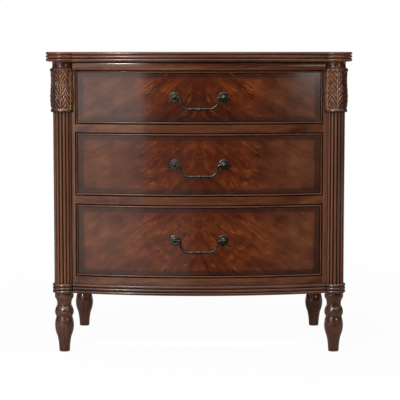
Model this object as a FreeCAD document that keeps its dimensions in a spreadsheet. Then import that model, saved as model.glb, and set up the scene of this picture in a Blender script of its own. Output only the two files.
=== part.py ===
import FreeCAD, Part
import os
import re
import Sketcher

# A bow-front nightstand: three cock-beaded drawers with bail pulls between reeded corner columns,
# on turned legs. The origin lies on the floor under the middle of the piece, Z is up, the front faces -Y.

Vector = FreeCAD.Vector
doc = FreeCAD.newDocument("nightstand")

# Driving sizes in millimetres.
SIZES = {
    # whole piece, seen from the front and from above
    "total_width": 720,
    "total_depth": 457,
    "leg_height": 141,
    "base_height": 23,
    "base_rail_height": 18,
    "lower_opening": 172.5,
    "middle_opening": 149.5,
    "upper_opening": 126.5,
    "divider_height": 19,
    "frieze_height": 19.5,
    "top_thickness": 23,
    "roundel_radius": 39,
    "bow_rise": 44.4,
    # top, frieze and base mouldings
    "top_overhang": 18,
    "top_side_overhang": 12,
    "top_back_overhang": 3,
    "frieze_bulge": 6.5,
    "frieze_edge": 5,
    "frieze_lap": 7.5,
    "frieze_round": 5,
    "base_reach": 5,
    "base_lap": 17.5,
    "base_side_width": 65,
    "base_rear_depth": 50,
    # case boards
    "post_outset": 9,
    "post_width": 38,
    "post_depth": 48,
    "side_thickness": 18,
    "back_thickness": 6,
    "tongue_thickness": 6,
    "tongue_length": 8,
    "tenon_length": 12,
    "tenon_thickness": 9,
    "tenon_width": 26,
    "tenon_set_back": 14,
    "dust_panel_thickness": 5,
    "runner_width": 60,
    "rear_rail_depth": 50,
    "top_rail_depth": 20,
    "guide_height": 18,
    "stop_height": 6,
    "stop_width": 40,
    "stop_spread": 150,
    "stop_set_back": 6,
    "stop_gap": 0.3,
    # corner columns, capitals and base rings
    "column_set_back": 12.6,
    "column_radius": 22.9,
    "reed_count": 16,
    "reed_share": 0.17,
    "core_share": 0.85,
    "capital_height": 118,
    "neck_height": 14,
    "neck_radius": 24.3,
    "lip_radius": 29.8,
    "waist_radius": 27.7,
    "belly_radius": 29.9,
    "collar_radius": 27.6,
    "leaf_count": 6,
    "leaf_turn": 18,
    "leaf_half_width": 14,
    "leaf_relief": 2.4,
    "rib_width": 2.4,
    "rib_rise": 1,
    "ring_radius": 27.3,
    "ring_gap": 0.3,
    # legs and their bolts
    "foot_radius": 12.5,
    "taper_radius": 16.8,
    "vase_radius": 22.4,
    "groove_radius": 18.8,
    "torus_radius": 22.4,
    "leg_neck_radius": 17,
    "leg_head_radius": 22,
    "rear_leg_inset": 21,
    "rear_leg_set_back": 26,
    "bolt_radius": 4,
    "bolt_in_leg": 30,
    "bolt_in_case": 16,
    # screws
    "screw_radius": 2,
    "screw_head_radius": 4,
    "screw_head_depth": 2.4,
    "top_screw_length": 32,
    "back_screw_length": 22,
    # drawers
    "side_gap": 2.8,
    "front_gap": 2.8,
    "runner_gap": 0.4,
    "guide_gap": 1,
    "rear_gap": 4,
    "side_top_gap": 3,
    "front_thickness": 20,
    "drawer_side_thickness": 12,
    "drawer_back_thickness": 12,
    "drawer_back_drop": 8,
    "drawer_back_inset": 8,
    "drawer_bottom_thickness": 6,
    "bottom_lift": 8,
    "groove_depth": 5,
    "front_lap": 8.5,
    "tail_overlap": 21,
    "tail_share": 0.6,
    "tail_slope": 7,
    "bead_thickness": 3,
    "bead_depth": 6,
    "bead_proud": 1.6,
    "quirk_width": 1.6,
    "quirk_depth": 2.5,
    # handles
    "handle_boring": 114.3,
    "upper_handle_rise": 0.5,
    "middle_handle_rise": 1,
    "lower_handle_rise": 4,
    "rosette_radius": 12.4,
    "rosette_edge": 1.2,
    "rosette_height": 4.2,
    "post_neck_radius": 2.8,
    "ball_radius": 5,
    "ball_reach": 16.5,
    "shank_radius": 2,
    "shank_hole_radius": 2.5,
    "shank_tail": 8,
    "washer_radius": 6,
    "washer_thickness": 1,
    "washer_gap": 0.05,
    "nut_corner_radius": 4.6,
    "nut_height": 4,
    "pin_radius": 2.05,
    "pin_clearance": 0.05,
    "pin_reach": 3,
    "rod_radius": 2.4,
    "grip_radius": 2.9,
    "knuckle_radius": 4.3,
    "elbow_radius": 5,
    "arm_length": 2,
    "bail_half_width": 44,
    "bail_drop": 27,
}

# Levels and positions that follow from the sizes.
PLACES = {
    "base_top": "leg_height + base_height",
    "lower_floor": "base_top + base_rail_height",
    "lower_ceiling": "lower_floor + lower_opening",
    "middle_floor": "lower_ceiling + divider_height",
    "middle_ceiling": "middle_floor + middle_opening",
    "upper_floor": "middle_ceiling + divider_height",
    "upper_ceiling": "upper_floor + upper_opening",
    "frieze_top": "upper_ceiling + frieze_height",
    "total_height": "frieze_top + top_thickness",
    "column_axis_x": "total_width / 2 - roundel_radius",
    "side_face_x": "column_axis_x + post_outset",
    "side_inner_x": "side_face_x - side_thickness",
    "rebate_x": "side_face_x - side_thickness / 2",
    "post_inner_x": "side_face_x - post_width",
    "runner_inner_x": "side_inner_x - runner_width",
    "bow_radius": "(post_inner_x * post_inner_x + bow_rise * bow_rise) / (2 * bow_rise)",
    "handle_angle": "asin(handle_boring / 2 / bow_radius)",
    "ball_front": "(bow_radius + ball_reach) * cos(handle_angle) + ball_radius - bow_radius",
    "face_apex_y": "max(ball_front; top_overhang) - total_depth / 2",
    "bow_axis_y": "face_apex_y + bow_radius",
    "stile_face_y": "face_apex_y + bow_rise",
    "column_axis_y": "stile_face_y + column_set_back",
    "post_rear_y": "stile_face_y + post_depth",
    "tenon_front_y": "stile_face_y + tenon_set_back",
    "case_back_y": "total_depth / 2 - top_back_overhang",
    "panel_front_y": "case_back_y - back_thickness",
    "rear_rail_y": "panel_front_y - rear_rail_depth",
    "top_rail_y": "panel_front_y - top_rail_depth",
    "base_split_y": "post_rear_y + base_lap",
    "base_half_width": "side_face_x + base_reach",
    "base_side_x": "base_half_width - base_side_width",
    "reed_radius": "column_radius * reed_share",
    "core_radius": "column_radius * core_share",
    "rear_leg_x": "column_axis_x - rear_leg_inset",
    "rear_leg_y": "total_depth / 2 - rear_leg_set_back",
    "capital_bottom": "frieze_top - capital_height",
    "crown_height": "capital_height - neck_height",
    "frieze_half": "post_inner_x + frieze_lap",
    "frieze_end_y": "bow_axis_y - sqrt((bow_radius + frieze_bulge)^2 - frieze_half^2)",
    "frieze_shoulder_y": "bow_axis_y - sqrt(bow_radius^2 - frieze_half^2)",
    "drawer_half": "post_inner_x - side_gap",
    "drawer_side_x": "drawer_half - drawer_side_thickness",
    "groove_x": "drawer_side_x + groove_depth",
    "bead_x": "drawer_half - bead_thickness",
    "bead_nose_x": "drawer_half - bead_thickness / 2",
    "bead_face_y": "bow_axis_y - sqrt(bow_radius^2 - bead_nose_x^2)",
    "bead_nose_y": "bead_face_y - bead_proud + bead_thickness / 2",
    "lap_y": "stile_face_y + front_lap",
    "drawer_rear_y": "panel_front_y - rear_gap",
    "drawer_back_y": "drawer_rear_y - drawer_back_inset - drawer_back_thickness",
    "face_depth": "front_thickness + shank_tail",
    "corner_radius": "bail_drop - elbow_radius - arm_length",
    "pivot_x": "(bow_radius + ball_reach) * sin(handle_angle)",
    "pivot_y": "bow_axis_y - (bow_radius + ball_reach) * cos(handle_angle)",
    "upper_pivot": "(upper_floor + upper_ceiling) / 2 + upper_handle_rise",
    "middle_pivot": "(middle_floor + middle_ceiling) / 2 + middle_handle_rise",
    "lower_pivot": "(lower_floor + lower_ceiling) / 2 + lower_handle_rise",
}

DRAWERS = ("upper", "middle", "lower")
DIVIDERS = {"upper": "middle_ceiling", "lower": "lower_ceiling"}
TAILS = {"upper": 3, "middle": 4, "lower": 4}

owner = {}
nodes = []


def spell(formula):
    """Put the sheet's name in front of each named value of a formula."""
    return re.sub("[a-z][a-z_]+", lambda word: owner.get(word.group(), "") + word.group(), formula)


def make_sheet(name, rows, sign=""):
    table = doc.addObject("Spreadsheet::Sheet", name)
    for row, (word, value) in enumerate(rows.items(), 1):
        table.set(f"A{row}", word)
        table.set(f"B{row}", sign + spell(str(value)))
        table.setAlias(f"B{row}", word)
    owner.update({word: name + "." for word in rows})
    doc.recompute()
    return table


sizes = make_sheet("Sizes", SIZES)
places = make_sheet("Places", PLACES, "=")


def number(formula):
    value = sizes.evalExpression(spell(formula))
    return float(getattr(value, "Value", value))


def bind(piece, **formulas):
    for name, formula in formulas.items():
        piece.setExpression(name, spell(formula))
    return piece


def place(piece, x="0", y="0", z="0"):
    for axis, formula in (("x", x), ("y", y), ("z", z)):
        if formula != "0":
            piece.setExpression(f"Placement.Base.{axis}", spell(formula))
    return piece


def box(label, x, y, z):
    """A board between two formulas along each axis."""
    piece = doc.addObject("Part::Box", label)
    bind(piece, Length=f"({x[1]}) - ({x[0]})", Width=f"({y[1]}) - ({y[0]})", Height=f"({z[1]}) - ({z[0]})")
    return place(piece, x[0], y[0], z[0])


def upright(label, radius, x, y, z):
    """A cylinder standing on level z[0] and ending at z[1]."""
    piece = bind(doc.addObject("Part::Cylinder", label), Radius=radius, Height=f"({z[1]}) - ({z[0]})")
    return place(piece, x, y, z[0])


def join(kind, label, pieces):
    piece = doc.addObject("Part::" + kind, label)
    piece.Shapes = list(pieces)
    piece.Refine = True
    return piece


def fuse(label, *pieces):
    return join("MultiFuse", label, pieces)


def common(label, *pieces):
    return join("MultiCommon", label, pieces)


def cut(label, base, *tools):
    piece = doc.addObject("Part::Cut", label)
    piece.Base = base
    piece.Tool = tools[0] if len(tools) == 1 else fuse(label + "_waste", *tools)
    return piece


def mirror(label, source):
    piece = doc.addObject("Part::Mirroring", label)
    piece.Source = source
    piece.Normal = Vector(1, 0, 0)
    return piece


def group(label, *pieces):
    piece = doc.addObject("Part::Compound", label)
    piece.Links = list(pieces)
    return piece


def pair(label, right):
    return group(label, right, mirror(label + "_other", right))


def keep(*pieces):
    nodes.extend(pieces)
    return pieces[0]


def sketch_on(body, role):
    sketch = body.newObject("Sketcher::SketchObject", body.Label + "_outline")
    plane = [feature for feature in body.Origin.OriginFeatures if feature.Role == role][0]
    sketch.AttachmentSupport = [(plane, "")]
    sketch.MapMode = "FlatFace"
    return sketch


def locate(sketch, curve, end, across, up):
    """Hold a point of the sketch at two formulas measured from its origin."""
    for kind, formula, axis in (("DistanceX", across, -2), ("DistanceY", up, -1)):
        if formula == "0":
            sketch.addConstraint(Sketcher.Constraint("PointOnObject", curve, end, axis))
        else:
            index = sketch.addConstraint(Sketcher.Constraint(kind, -1, 1, curve, end, number(formula)))
            sketch.setExpression(f"Constraints[{index}]", spell(formula))


def outline(sketch, steps):
    """Draw a closed outline. A step of two formulas is a line to a point, one of four an arc by a point."""
    corners = [Vector(number(step[-2]), number(step[-1]), 0) for step in steps]
    curves = []
    for index, step in enumerate(steps):
        start, end = corners[index - 1], corners[index]
        first = 1
        shape = Part.LineSegment(start, end)
        if len(step) == 4:
            middle = Vector(number(step[0]), number(step[1]), 0)
            first = 1 if (middle - start).cross(end - middle).z > 0 else 2
            shape = Part.Arc(start, middle, end) if first == 1 else Part.Arc(end, middle, start)
        curve = sketch.addGeometry(shape, False)
        curves.append((curve, first))
    for index, step in enumerate(steps):
        curve, first = curves[index]
        before, before_first = curves[index - 1]
        sketch.addConstraint(Sketcher.Constraint("Coincident", before, 3 - before_first, curve, first))
        locate(sketch, curve, 3 - first, step[-2], step[-1])
        if len(step) == 4:
            middle = sketch.addGeometry(Part.Point(Vector(number(step[0]), number(step[1]), 0)), True)
            sketch.addConstraint(Sketcher.Constraint("PointOnObject", middle, 1, curve))
            locate(sketch, middle, 1, step[0], step[1])


def turned(label, steps, x="0", y="0", z="0"):
    """A solid of revolution: the steps give radius and height above its lower end."""
    body = doc.addObject("PartDesign::Body", label)
    profile = sketch_on(body, "XZ_Plane")
    outline(profile, steps)
    turning = body.newObject("PartDesign::Revolution", label + "_turning")
    turning.Profile = profile
    turning.ReferenceAxis = (profile, ["V_Axis"])
    turning.Angle = 360
    return place(body, x, y, z)


def padded(label, role, steps, length, x="0", y="0", z="0"):
    body = doc.addObject("PartDesign::Body", label)
    profile = sketch_on(body, role)
    outline(profile, steps)
    pad = body.newObject("PartDesign::Pad", label + "_pad")
    pad.Profile = profile
    bind(pad, Length=length)
    return place(body, x, y, z)


def reeds_up(edge, inner, thickness):
    """Three half-round reeds one above the other, drawn from the bottom up."""
    reed = f"({thickness}) / 6"
    return [(edge, f"{reed} * {row}", inner, f"{reed} * {row + 1}") for row in (1, 3, 5)]


def reeded_disc(label, radius, thickness, x="0", y="0", z="0"):
    inner = f"({radius}) - ({thickness}) / 6"
    steps = [("0", "0"), (inner, "0")] + reeds_up(radius, inner, thickness) + [("0", thickness)]
    return turned(label, steps, x, y, z)


def reeded_slab(label, reach, half_width, thickness, back, z):
    """A board with a reeded bow front and reeded straight sides."""
    reed = f"({thickness}) / 6"
    width = f"2 * ({half_width})"
    right = f"{width} - {reed}"
    steps = [(reed, "0"), (right, "0")] + reeds_up(width, right, thickness) + [(reed, thickness)]
    steps += [("0", f"{reed} * {row}", reed, f"{reed} * {row - 1}") for row in (5, 3)]
    steps[0] = ("0", reed, reed, "0")
    sides = padded(label + "_sides", "XZ_Plane", steps, "total_depth", f"-({half_width})", back, z)
    bow = reeded_disc(label + "_bow", f"bow_radius + {reach}", thickness, "0", "bow_axis_y", z)
    return common(label, bow, sides)


def screw(label, length, x, y, z, turn="0; 0; 0"):
    """A countersunk wood screw: its head lies at the given point."""
    spot = f"placement(vector({x}; {y}; {z}); rotation({turn}))"
    shank = bind(doc.addObject("Part::Cylinder", label + "_shank"), Radius="screw_radius", Height=length)
    head = bind(doc.addObject("Part::Cone", label + "_head"), Radius1="screw_head_radius",
                Radius2="screw_radius", Height="screw_head_depth")
    return fuse(label, bind(shank, Placement=spot), bind(head, Placement=spot))


def along_handle(distance, level):
    """Placement on a handle's own axis, square to the bow, at a distance from the bow's axis."""
    x = f"({distance}) * sin(handle_angle)"
    y = f"bow_axis_y - ({distance}) * cos(handle_angle)"
    return f"placement(vector({x}; {y}; {level}); rotation(handle_angle; 0; 90))"


# Shapes that several pieces share: the bow of the case front and the hollow of the drawer fronts.
bow = upright("bow", "bow_radius", "0", "bow_axis_y", ("0", "total_height"))
hollow = upright("hollow", "bow_radius - front_thickness", "0", "bow_axis_y", ("0", "total_height"))
stop_face = upright("stop_face", "bow_radius - front_thickness - stop_gap", "0", "bow_axis_y",
                    ("0", "total_height"))
front_shell = cut("front_shell", bow, hollow)
AHEAD = "-total_depth"

# Fastenings first, because the pieces they hold are drilled by them.
BOLT_LEVELS = ("leg_height - bolt_in_leg", "base_top + bolt_in_case")
front_bolt = upright("front_bolt", "bolt_radius", "column_axis_x", "column_axis_y", BOLT_LEVELS)
rear_bolt = upright("rear_bolt", "bolt_radius", "rear_leg_x", "rear_leg_y", BOLT_LEVELS)
front_bolts = pair("front_bolts", front_bolt)
rear_bolts = pair("rear_bolts", rear_bolt)
bolts = [front_bolt, rear_bolt]
keep(group("leg_hanger_bolts", *bolts, *[mirror(bolt.Label + "_left", bolt) for bolt in bolts]))

screws = []
for row in (1, 2, 3):
    depth = f"post_rear_y + (top_rail_y - post_rear_y) * {row} / 4"
    screws.append(screw(f"top_screw_{row}", "top_screw_length", "side_inner_x - runner_width / 2", depth,
                        "upper_ceiling"))
top_screws_right = group("top_screws_right", *screws)
top_screws = keep(pair("top_screws", top_screws_right))

screws = []
for row in (1, 2, 3, 4):
    level = f"base_top + (frieze_top - base_top) * ({row} - 0.5) / 4"
    screws.append(screw(f"back_screw_{row}", "back_screw_length", "(side_inner_x + rebate_x) / 2",
                        "case_back_y", level, "0; 0; 90"))
back_screws_right = group("back_screws_right", *screws)
back_screws = keep(pair("back_screws", back_screws_right))

# Top with its two corner roundels.
slab = reeded_slab("top_slab", "top_overhang", "side_face_x + top_side_overhang", "top_thickness",
                   "total_depth / 2", "frieze_top")
roundel = reeded_disc("roundel", "roundel_radius", "top_thickness", "column_axis_x", "column_axis_y",
                      "frieze_top")
keep(cut("top_panel", fuse("top_blank", slab, roundel, mirror("roundel_left", roundel)), top_screws))

# Back, bottom and sides.
WALL = ("base_top", "frieze_top")
back_blank = box("back_blank", ("-rebate_x", "rebate_x"), ("panel_front_y", "case_back_y"), WALL)
keep(cut("back_panel", back_blank, back_screws))
bottom_blank = box("bottom_blank", ("-side_inner_x", "side_inner_x"), ("post_rear_y", "panel_front_y"),
                   ("base_top", "lower_floor"))
keep(cut("bottom_panel", bottom_blank, rear_bolts))
side_board = box("side_board", ("side_inner_x", "side_face_x"), ("post_rear_y", "case_back_y"), WALL)
SIDE_MIDDLE = "side_inner_x + side_thickness / 2"
tongue = box("side_tongue", (f"{SIDE_MIDDLE} - tongue_thickness / 2", f"{SIDE_MIDDLE} + tongue_thickness / 2"),
             ("post_rear_y - tongue_length", "post_rear_y"), WALL)
right_side = cut("right_side_panel", fuse("side_blank", side_board, tongue), back_blank, back_screws_right)
keep(right_side, mirror("left_side_panel", right_side))

# Front posts before they are jointed: their faces carry on the line of the bow.
post_board = box("post_board", ("post_inner_x", "side_face_x"), ("stile_face_y", "post_rear_y"), WALL)
post_blank = common("post_blank", post_board, bow)
post_blanks = pair("post_blanks", post_blank)

# Rails across the front: base rail, two dividers and the swelling frieze, all tenoned into the posts.
RAILS = {
    "base_rail": ("base_top", "lower_floor"),
    "lower_divider_rail": ("lower_ceiling", "middle_floor"),
    "upper_divider_rail": ("middle_ceiling", "upper_floor"),
    "frieze_rail": ("upper_ceiling", "frieze_top"),
}
dust_panels = {}
for name, level in DIVIDERS.items():
    middle = f"{level} + divider_height / 2"
    dust_panels[name + "_divider_rail"] = keep(box(
        name + "_dust_panel",
        ("-(runner_inner_x + tongue_length)", "runner_inner_x + tongue_length"),
        ("post_rear_y - tongue_length", "rear_rail_y + tongue_length"),
        (f"{middle} - dust_panel_thickness / 2", f"{middle} + dust_panel_thickness / 2")))

ROUND = "frieze_lap"
NIP = "frieze_lap * 0.293"
frieze_face = padded("frieze_face", "XZ_Plane", [
    (NIP, NIP, ROUND, "0"),
    (f"2 * frieze_half - {ROUND}", "0"),
    (f"2 * frieze_half - {NIP}", NIP, "2 * frieze_half", ROUND),
    ("2 * frieze_half", f"frieze_height - {ROUND}"),
    (f"2 * frieze_half - {NIP}", f"frieze_height - {NIP}", f"2 * frieze_half - {ROUND}", "frieze_height"),
    (ROUND, "frieze_height"),
    (NIP, f"frieze_height - {NIP}", "0", f"frieze_height - {ROUND}"),
    ("0", ROUND),
], "total_depth / 2", "-frieze_half", "0", "upper_ceiling")
frieze_bow = turned("frieze_bow", [
    ("0", "0"),
    ("bow_radius + frieze_edge", "0"),
    ("bow_radius + frieze_bulge", "frieze_height / 2", "bow_radius + frieze_edge", "frieze_height"),
    ("0", "frieze_height"),
], "0", "bow_axis_y", "upper_ceiling")
WIDE = "2 * frieze_half"
CORNER = "frieze_end_y + total_depth"
SHOULDER = "frieze_shoulder_y + total_depth"
TAIL = "post_rear_y + total_depth"
frieze_plan = padded("frieze_plan", "XY_Plane", [
    ("frieze_round", "0"),
    (f"{WIDE} - frieze_round", "0"),
    (f"{WIDE} - frieze_round", f"{CORNER} - frieze_round / 3"),
    (f"{WIDE} - frieze_round / 4", f"{CORNER} + frieze_round / 4", WIDE, f"{CORNER} + frieze_round"),
    (WIDE, SHOULDER),
    (f"{WIDE} - frieze_lap", SHOULDER),
    (f"{WIDE} - frieze_lap", TAIL),
    ("frieze_lap", TAIL),
    ("frieze_lap", SHOULDER),
    ("0", SHOULDER),
    ("0", f"{CORNER} + frieze_round"),
    ("frieze_round / 4", f"{CORNER} + frieze_round / 4", "frieze_round", f"{CORNER} - frieze_round / 3"),
], "frieze_height", "-frieze_half", "-total_depth", "upper_ceiling")

tenons = []
for name, (low, high) in RAILS.items():
    middle = f"({low} + {high}) / 2"
    tenon = box(name + "_tenon", ("-post_inner_x - tenon_length", "post_inner_x + tenon_length"),
                ("tenon_front_y", "tenon_front_y + tenon_width"),
                (f"{middle} - tenon_thickness / 2", f"{middle} + tenon_thickness / 2"))
    tenons.append(tenon)
    if name == "frieze_rail":
        core = common("frieze_core", common("frieze_swell", frieze_bow, frieze_plan), frieze_face)
        frieze = keep(fuse(name, cut("frieze_fitted", core, post_blanks), tenon))
        continue
    board = box(name + "_board", ("-post_inner_x", "post_inner_x"), (AHEAD, "post_rear_y"), (low, high))
    shaped = common(name + "_bowed", board, bow)
    if name in dust_panels:
        keep(cut(name, fuse(name + "_blank", shaped, tenon), dust_panels[name]))
    else:
        keep(fuse(name, shaped, tenon))

# Front posts, mortised for the rails and grooved for the sides.
right_post = cut("right_front_post", post_blank, *tenons, tongue, front_bolt)
keep(right_post, mirror("left_front_post", right_post))

# Dust frames, drawer guides, stops, and the frame that holds the top.
runners = []
rear_rails = []
for name, level in DIVIDERS.items():
    span = (level, f"{level} + divider_height")
    panel = dust_panels[name + "_divider_rail"]
    runner = box(name + "_runner_board", ("runner_inner_x", "side_inner_x"), ("post_rear_y", "rear_rail_y"), span)
    runner = cut(name + "_runner", runner, panel)
    runners += [runner, mirror(name + "_runner_left", runner)]
    rail = box(name + "_rear_board", ("-side_inner_x", "side_inner_x"), ("rear_rail_y", "panel_front_y"), span)
    rear_rails.append(cut(name + "_rear_rail", rail, panel))
keep(group("drawer_runners", *runners), group("dust_frame_rear_rails", *rear_rails))

guides = []
stops = []
for name in DRAWERS:
    floor = name + "_floor"
    guide = box(name + "_guide", ("drawer_half + guide_gap", "side_inner_x"), ("post_rear_y", "panel_front_y"),
                (floor, f"{floor} + guide_height"))
    guides += [guide, mirror(name + "_guide_left", guide)]
    block = box(name + "_stop_block", ("stop_spread - stop_width / 2", "stop_spread + stop_width / 2"),
                (AHEAD, "stile_face_y + stop_set_back"), (floor, f"{floor} + stop_height"))
    stop = common(name + "_stop", block, stop_face)
    stops += [stop, mirror(name + "_stop_left", stop)]
keep(group("drawer_guides", *guides), group("drawer_stops", *stops))

HEAD = ("upper_ceiling", "frieze_top")
cleat = box("cleat_board", ("runner_inner_x", "side_inner_x"), ("post_rear_y", "top_rail_y"), HEAD)
keep(pair("top_cleats", cut("top_cleat", cleat, top_screws_right)))
keep(box("rear_top_rail", ("-side_inner_x", "side_inner_x"), ("top_rail_y", "panel_front_y"), HEAD))

# Base frame with its reeded edge, and the turned rings under the corner posts.
BASE = ("leg_height", "base_top")
base_slab = reeded_slab("base_slab", "base_reach", "base_half_width", "base_height", "case_back_y", "leg_height")
front_block = box("base_front_block", ("-total_width", "total_width"), (AHEAD, "base_split_y"), BASE)
ring_space = upright("ring_space", "ring_radius + ring_gap", "column_axis_x", "column_axis_y", BASE)
keep(cut("front_base_moulding", common("base_front", base_slab, front_block), pair("ring_spaces", ring_space)))
side_block = box("base_side_block", ("base_side_x", "total_width"), ("base_split_y", "case_back_y"), BASE)
keep(pair("side_base_mouldings", cut("base_side", common("base_side_blank", base_slab, side_block), rear_bolt)))
keep(box("rear_base_rail", ("-base_side_x", "base_side_x"), ("case_back_y - base_rear_depth", "case_back_y"), BASE))
ring = reeded_disc("ring_blank", "ring_radius", "base_height", "column_axis_x", "column_axis_y", "leg_height")
right_ring = cut("right_base_ring", ring, front_bolt)
keep(right_ring, mirror("left_base_ring", right_ring))

# Turned legs: tapered foot, vase, torus, hollow neck and plain head.
LEG_STEPS = [
    ("0", "0"),
    ("foot_radius", "0"),
    ("foot_radius + 0.8", "leg_height * 0.11", "taper_radius", "leg_height * 0.265"),
    ("vase_radius", "leg_height * 0.46", "groove_radius", "leg_height * 0.6"),
    ("torus_radius", "leg_height * 0.685", "groove_radius", "leg_height * 0.76"),
    ("groove_radius", "leg_height * 0.772"),
    ("leg_neck_radius + 0.8", "leg_height * 0.772"),
    ("leg_neck_radius", "leg_height * 0.825", "leg_head_radius - 1", "leg_height * 0.91"),
    ("leg_head_radius", "leg_height * 0.92"),
    ("leg_head_radius + 0.4", "leg_height * 0.955", "leg_head_radius", "leg_height"),
    ("0", "leg_height"),
]
for name, x, y, bolt in (("front", "column_axis_x", "column_axis_y", front_bolt),
                         ("rear", "rear_leg_x", "rear_leg_y", rear_bolt)):
    leg = cut(name + "_right_leg", turned(name + "_leg_blank", LEG_STEPS, x, y), bolt)
    keep(leg, mirror(name + "_left_leg", leg))


def reeded_column(label, x, turn):
    """A column of round reeds about a core, turned about its axis."""
    body = doc.addObject("PartDesign::Body", label)
    pads = []
    for name, centre, radius in (("core", "0", "core_radius"), ("reed", "column_radius - reed_radius", "reed_radius")):
        sketch = body.newObject("Sketcher::SketchObject", f"{label}_{name}_circle")
        sketch.AttachmentSupport = [([f for f in body.Origin.OriginFeatures if f.Role == "XY_Plane"][0], "")]
        sketch.MapMode = "FlatFace"
        circle = sketch.addGeometry(Part.Circle(Vector(number(centre), 0, 0), Vector(0, 0, 1), number(radius)), False)
        locate(sketch, circle, 3, centre, "0")
        index = sketch.addConstraint(Sketcher.Constraint("Radius", circle, number(radius)))
        sketch.setExpression(f"Constraints[{index}]", spell(radius))
        pad = body.newObject("PartDesign::Pad", f"{label}_{name}")
        pad.Profile = sketch
        bind(pad, Length="capital_bottom - base_top")
        doc.recompute()
        pads.append(pad)
    ring_of_reeds = body.newObject("PartDesign::PolarPattern", label + "_reeds")
    ring_of_reeds.Originals = [pads[1]]
    ring_of_reeds.Axis = (pads[1].Profile[0], ["N_Axis"])
    ring_of_reeds.Angle = 360
    bind(ring_of_reeds, Occurrences="reed_count")
    body.Tip = ring_of_reeds
    bind(body, Placement=f"placement(vector({x}; column_axis_y; base_top); rotation({turn}; 0; 0))")
    return body


def capital_turning(label, rise):
    """The capital's turned outline, with the zone of the leaves raised by a formula."""
    return turned(label, [
        ("0", "0"),
        ("collar_radius", "0"),
        ("collar_radius + 0.9", "crown_height * 0.025", "collar_radius", "crown_height * 0.05"),
        (f"collar_radius - 0.6 + {rise}", "crown_height * 0.05"),
        (f"belly_radius + {rise}", "crown_height * 0.31", f"waist_radius + 0.3 + {rise}", "crown_height * 0.66"),
        (f"waist_radius + {rise}", "crown_height * 0.76", f"lip_radius - 0.6 + {rise}", "crown_height * 0.915"),
        ("lip_radius - 0.3", "crown_height * 0.93"),
        ("lip_radius", "crown_height * 0.953", "neck_radius + 2", "crown_height * 0.99"),
        ("neck_radius", "crown_height"),
        ("neck_radius", "capital_height"),
        ("0", "capital_height"),
    ], "column_axis_x", "column_axis_y", "capital_bottom")


def turned_about_column(angle, aside, ahead, level):
    """Placement of a piece whose origin lies aside and ahead of the column's axis, turned by an angle."""
    x = f"column_axis_x - ({aside}) * cos({angle}) + ({ahead}) * sin({angle})"
    y = f"column_axis_y - ({aside}) * sin({angle}) - ({ahead}) * cos({angle})"
    return f"placement(vector({x}; {y}; {level}); rotation({angle}; 0; 0))"


# Carved capitals: hanging leaves, each with a raised middle rib, laid round a turned core.
LEAF_STEPS = [
    ("leaf_half_width * 1.94", "crown_height * 0.5", "leaf_half_width * 1.7", "crown_height * 0.91"),
    ("leaf_half_width * 0.3", "crown_height * 0.91"),
    ("leaf_half_width * 0.06", "crown_height * 0.5", "leaf_half_width", "crown_height * 0.07"),
]
leaves = []
ribs = []
for row in range(SIZES["leaf_count"]):
    angle = f"(360 / leaf_count * {row} - leaf_turn)"
    leaf = padded(f"leaf_{row}", "XZ_Plane", LEAF_STEPS, "roundel_radius")
    leaves.append(bind(leaf, Placement=turned_about_column(angle, "leaf_half_width", "0", "capital_bottom")))
    rib = bind(doc.addObject("Part::Box", f"rib_{row}"), Length="rib_width", Width="roundel_radius",
               Height="crown_height * 0.76")
    spot = turned_about_column(angle, "rib_width / 2", "roundel_radius", "capital_bottom + crown_height * 0.105")
    ribs.append(bind(rib, Placement=spot))
carving = fuse("capital_carving", capital_turning("capital_core", "-leaf_relief"),
               common("capital_leaves", capital_turning("leaf_surface", "0"), fuse("leaf_set", *leaves)),
               common("capital_ribs", capital_turning("rib_surface", "rib_rise"), group("rib_set", *ribs)))

# Three-quarter columns and capitals are notched over the corners of the case.
corner_block = box("corner_block", ("0", "side_face_x"), ("stile_face_y", "case_back_y"), WALL)
case_corner = common("case_corner", corner_block, bow)
case_corner_left = mirror("case_corner_left", case_corner)
right_capital = cut("right_capital", carving, case_corner, frieze)
keep(right_capital, mirror("left_capital", right_capital))
for side, sign, corner, turn in (("right", "", case_corner, "0"),
                                 ("left", "-", case_corner_left, "180 / reed_count")):
    column = reeded_column(side + "_column_round", sign + "column_axis_x", turn)
    keep(cut(side + "_column", column, corner, front_bolts))

# Handle profiles: the post with its rosette and ball, and half of the bail's grip.
NECK_TOP = "face_depth + ball_reach - sqrt(ball_radius^2 - post_neck_radius^2)"
POST_STEPS = [
    ("0", "0"),
    ("shank_radius", "0"),
    ("shank_radius", "face_depth"),
    ("rosette_radius", "face_depth"),
    ("rosette_radius", "face_depth + rosette_edge"),
    ("rosette_radius * 0.87", "face_depth + rosette_edge * 2.3", "rosette_radius * 0.73",
     "face_depth + rosette_edge"),
    ("rosette_radius * 0.57", "face_depth + rosette_edge"),
    ("rosette_radius * 0.49", "face_depth + rosette_height * 0.65", "post_neck_radius",
     "face_depth + rosette_height"),
    ("post_neck_radius", NECK_TOP),
    ("ball_radius", "face_depth + ball_reach", "0", "face_depth + ball_reach + ball_radius"),
]
GRIP_STEPS = [
    ("0", "0"),
    ("knuckle_radius", "0"),
    ("knuckle_radius * 0.93", "knuckle_radius * 0.75", "rod_radius + 0.2", "knuckle_radius * 1.15"),
    ("grip_radius + 0.3", "knuckle_radius * 1.5", "rod_radius + 0.3", "knuckle_radius * 1.85"),
    ("grip_radius", "(bail_half_width - corner_radius) * 0.5", "rod_radius", "bail_half_width - corner_radius"),
    ("0", "bail_half_width - corner_radius"),
]


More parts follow.
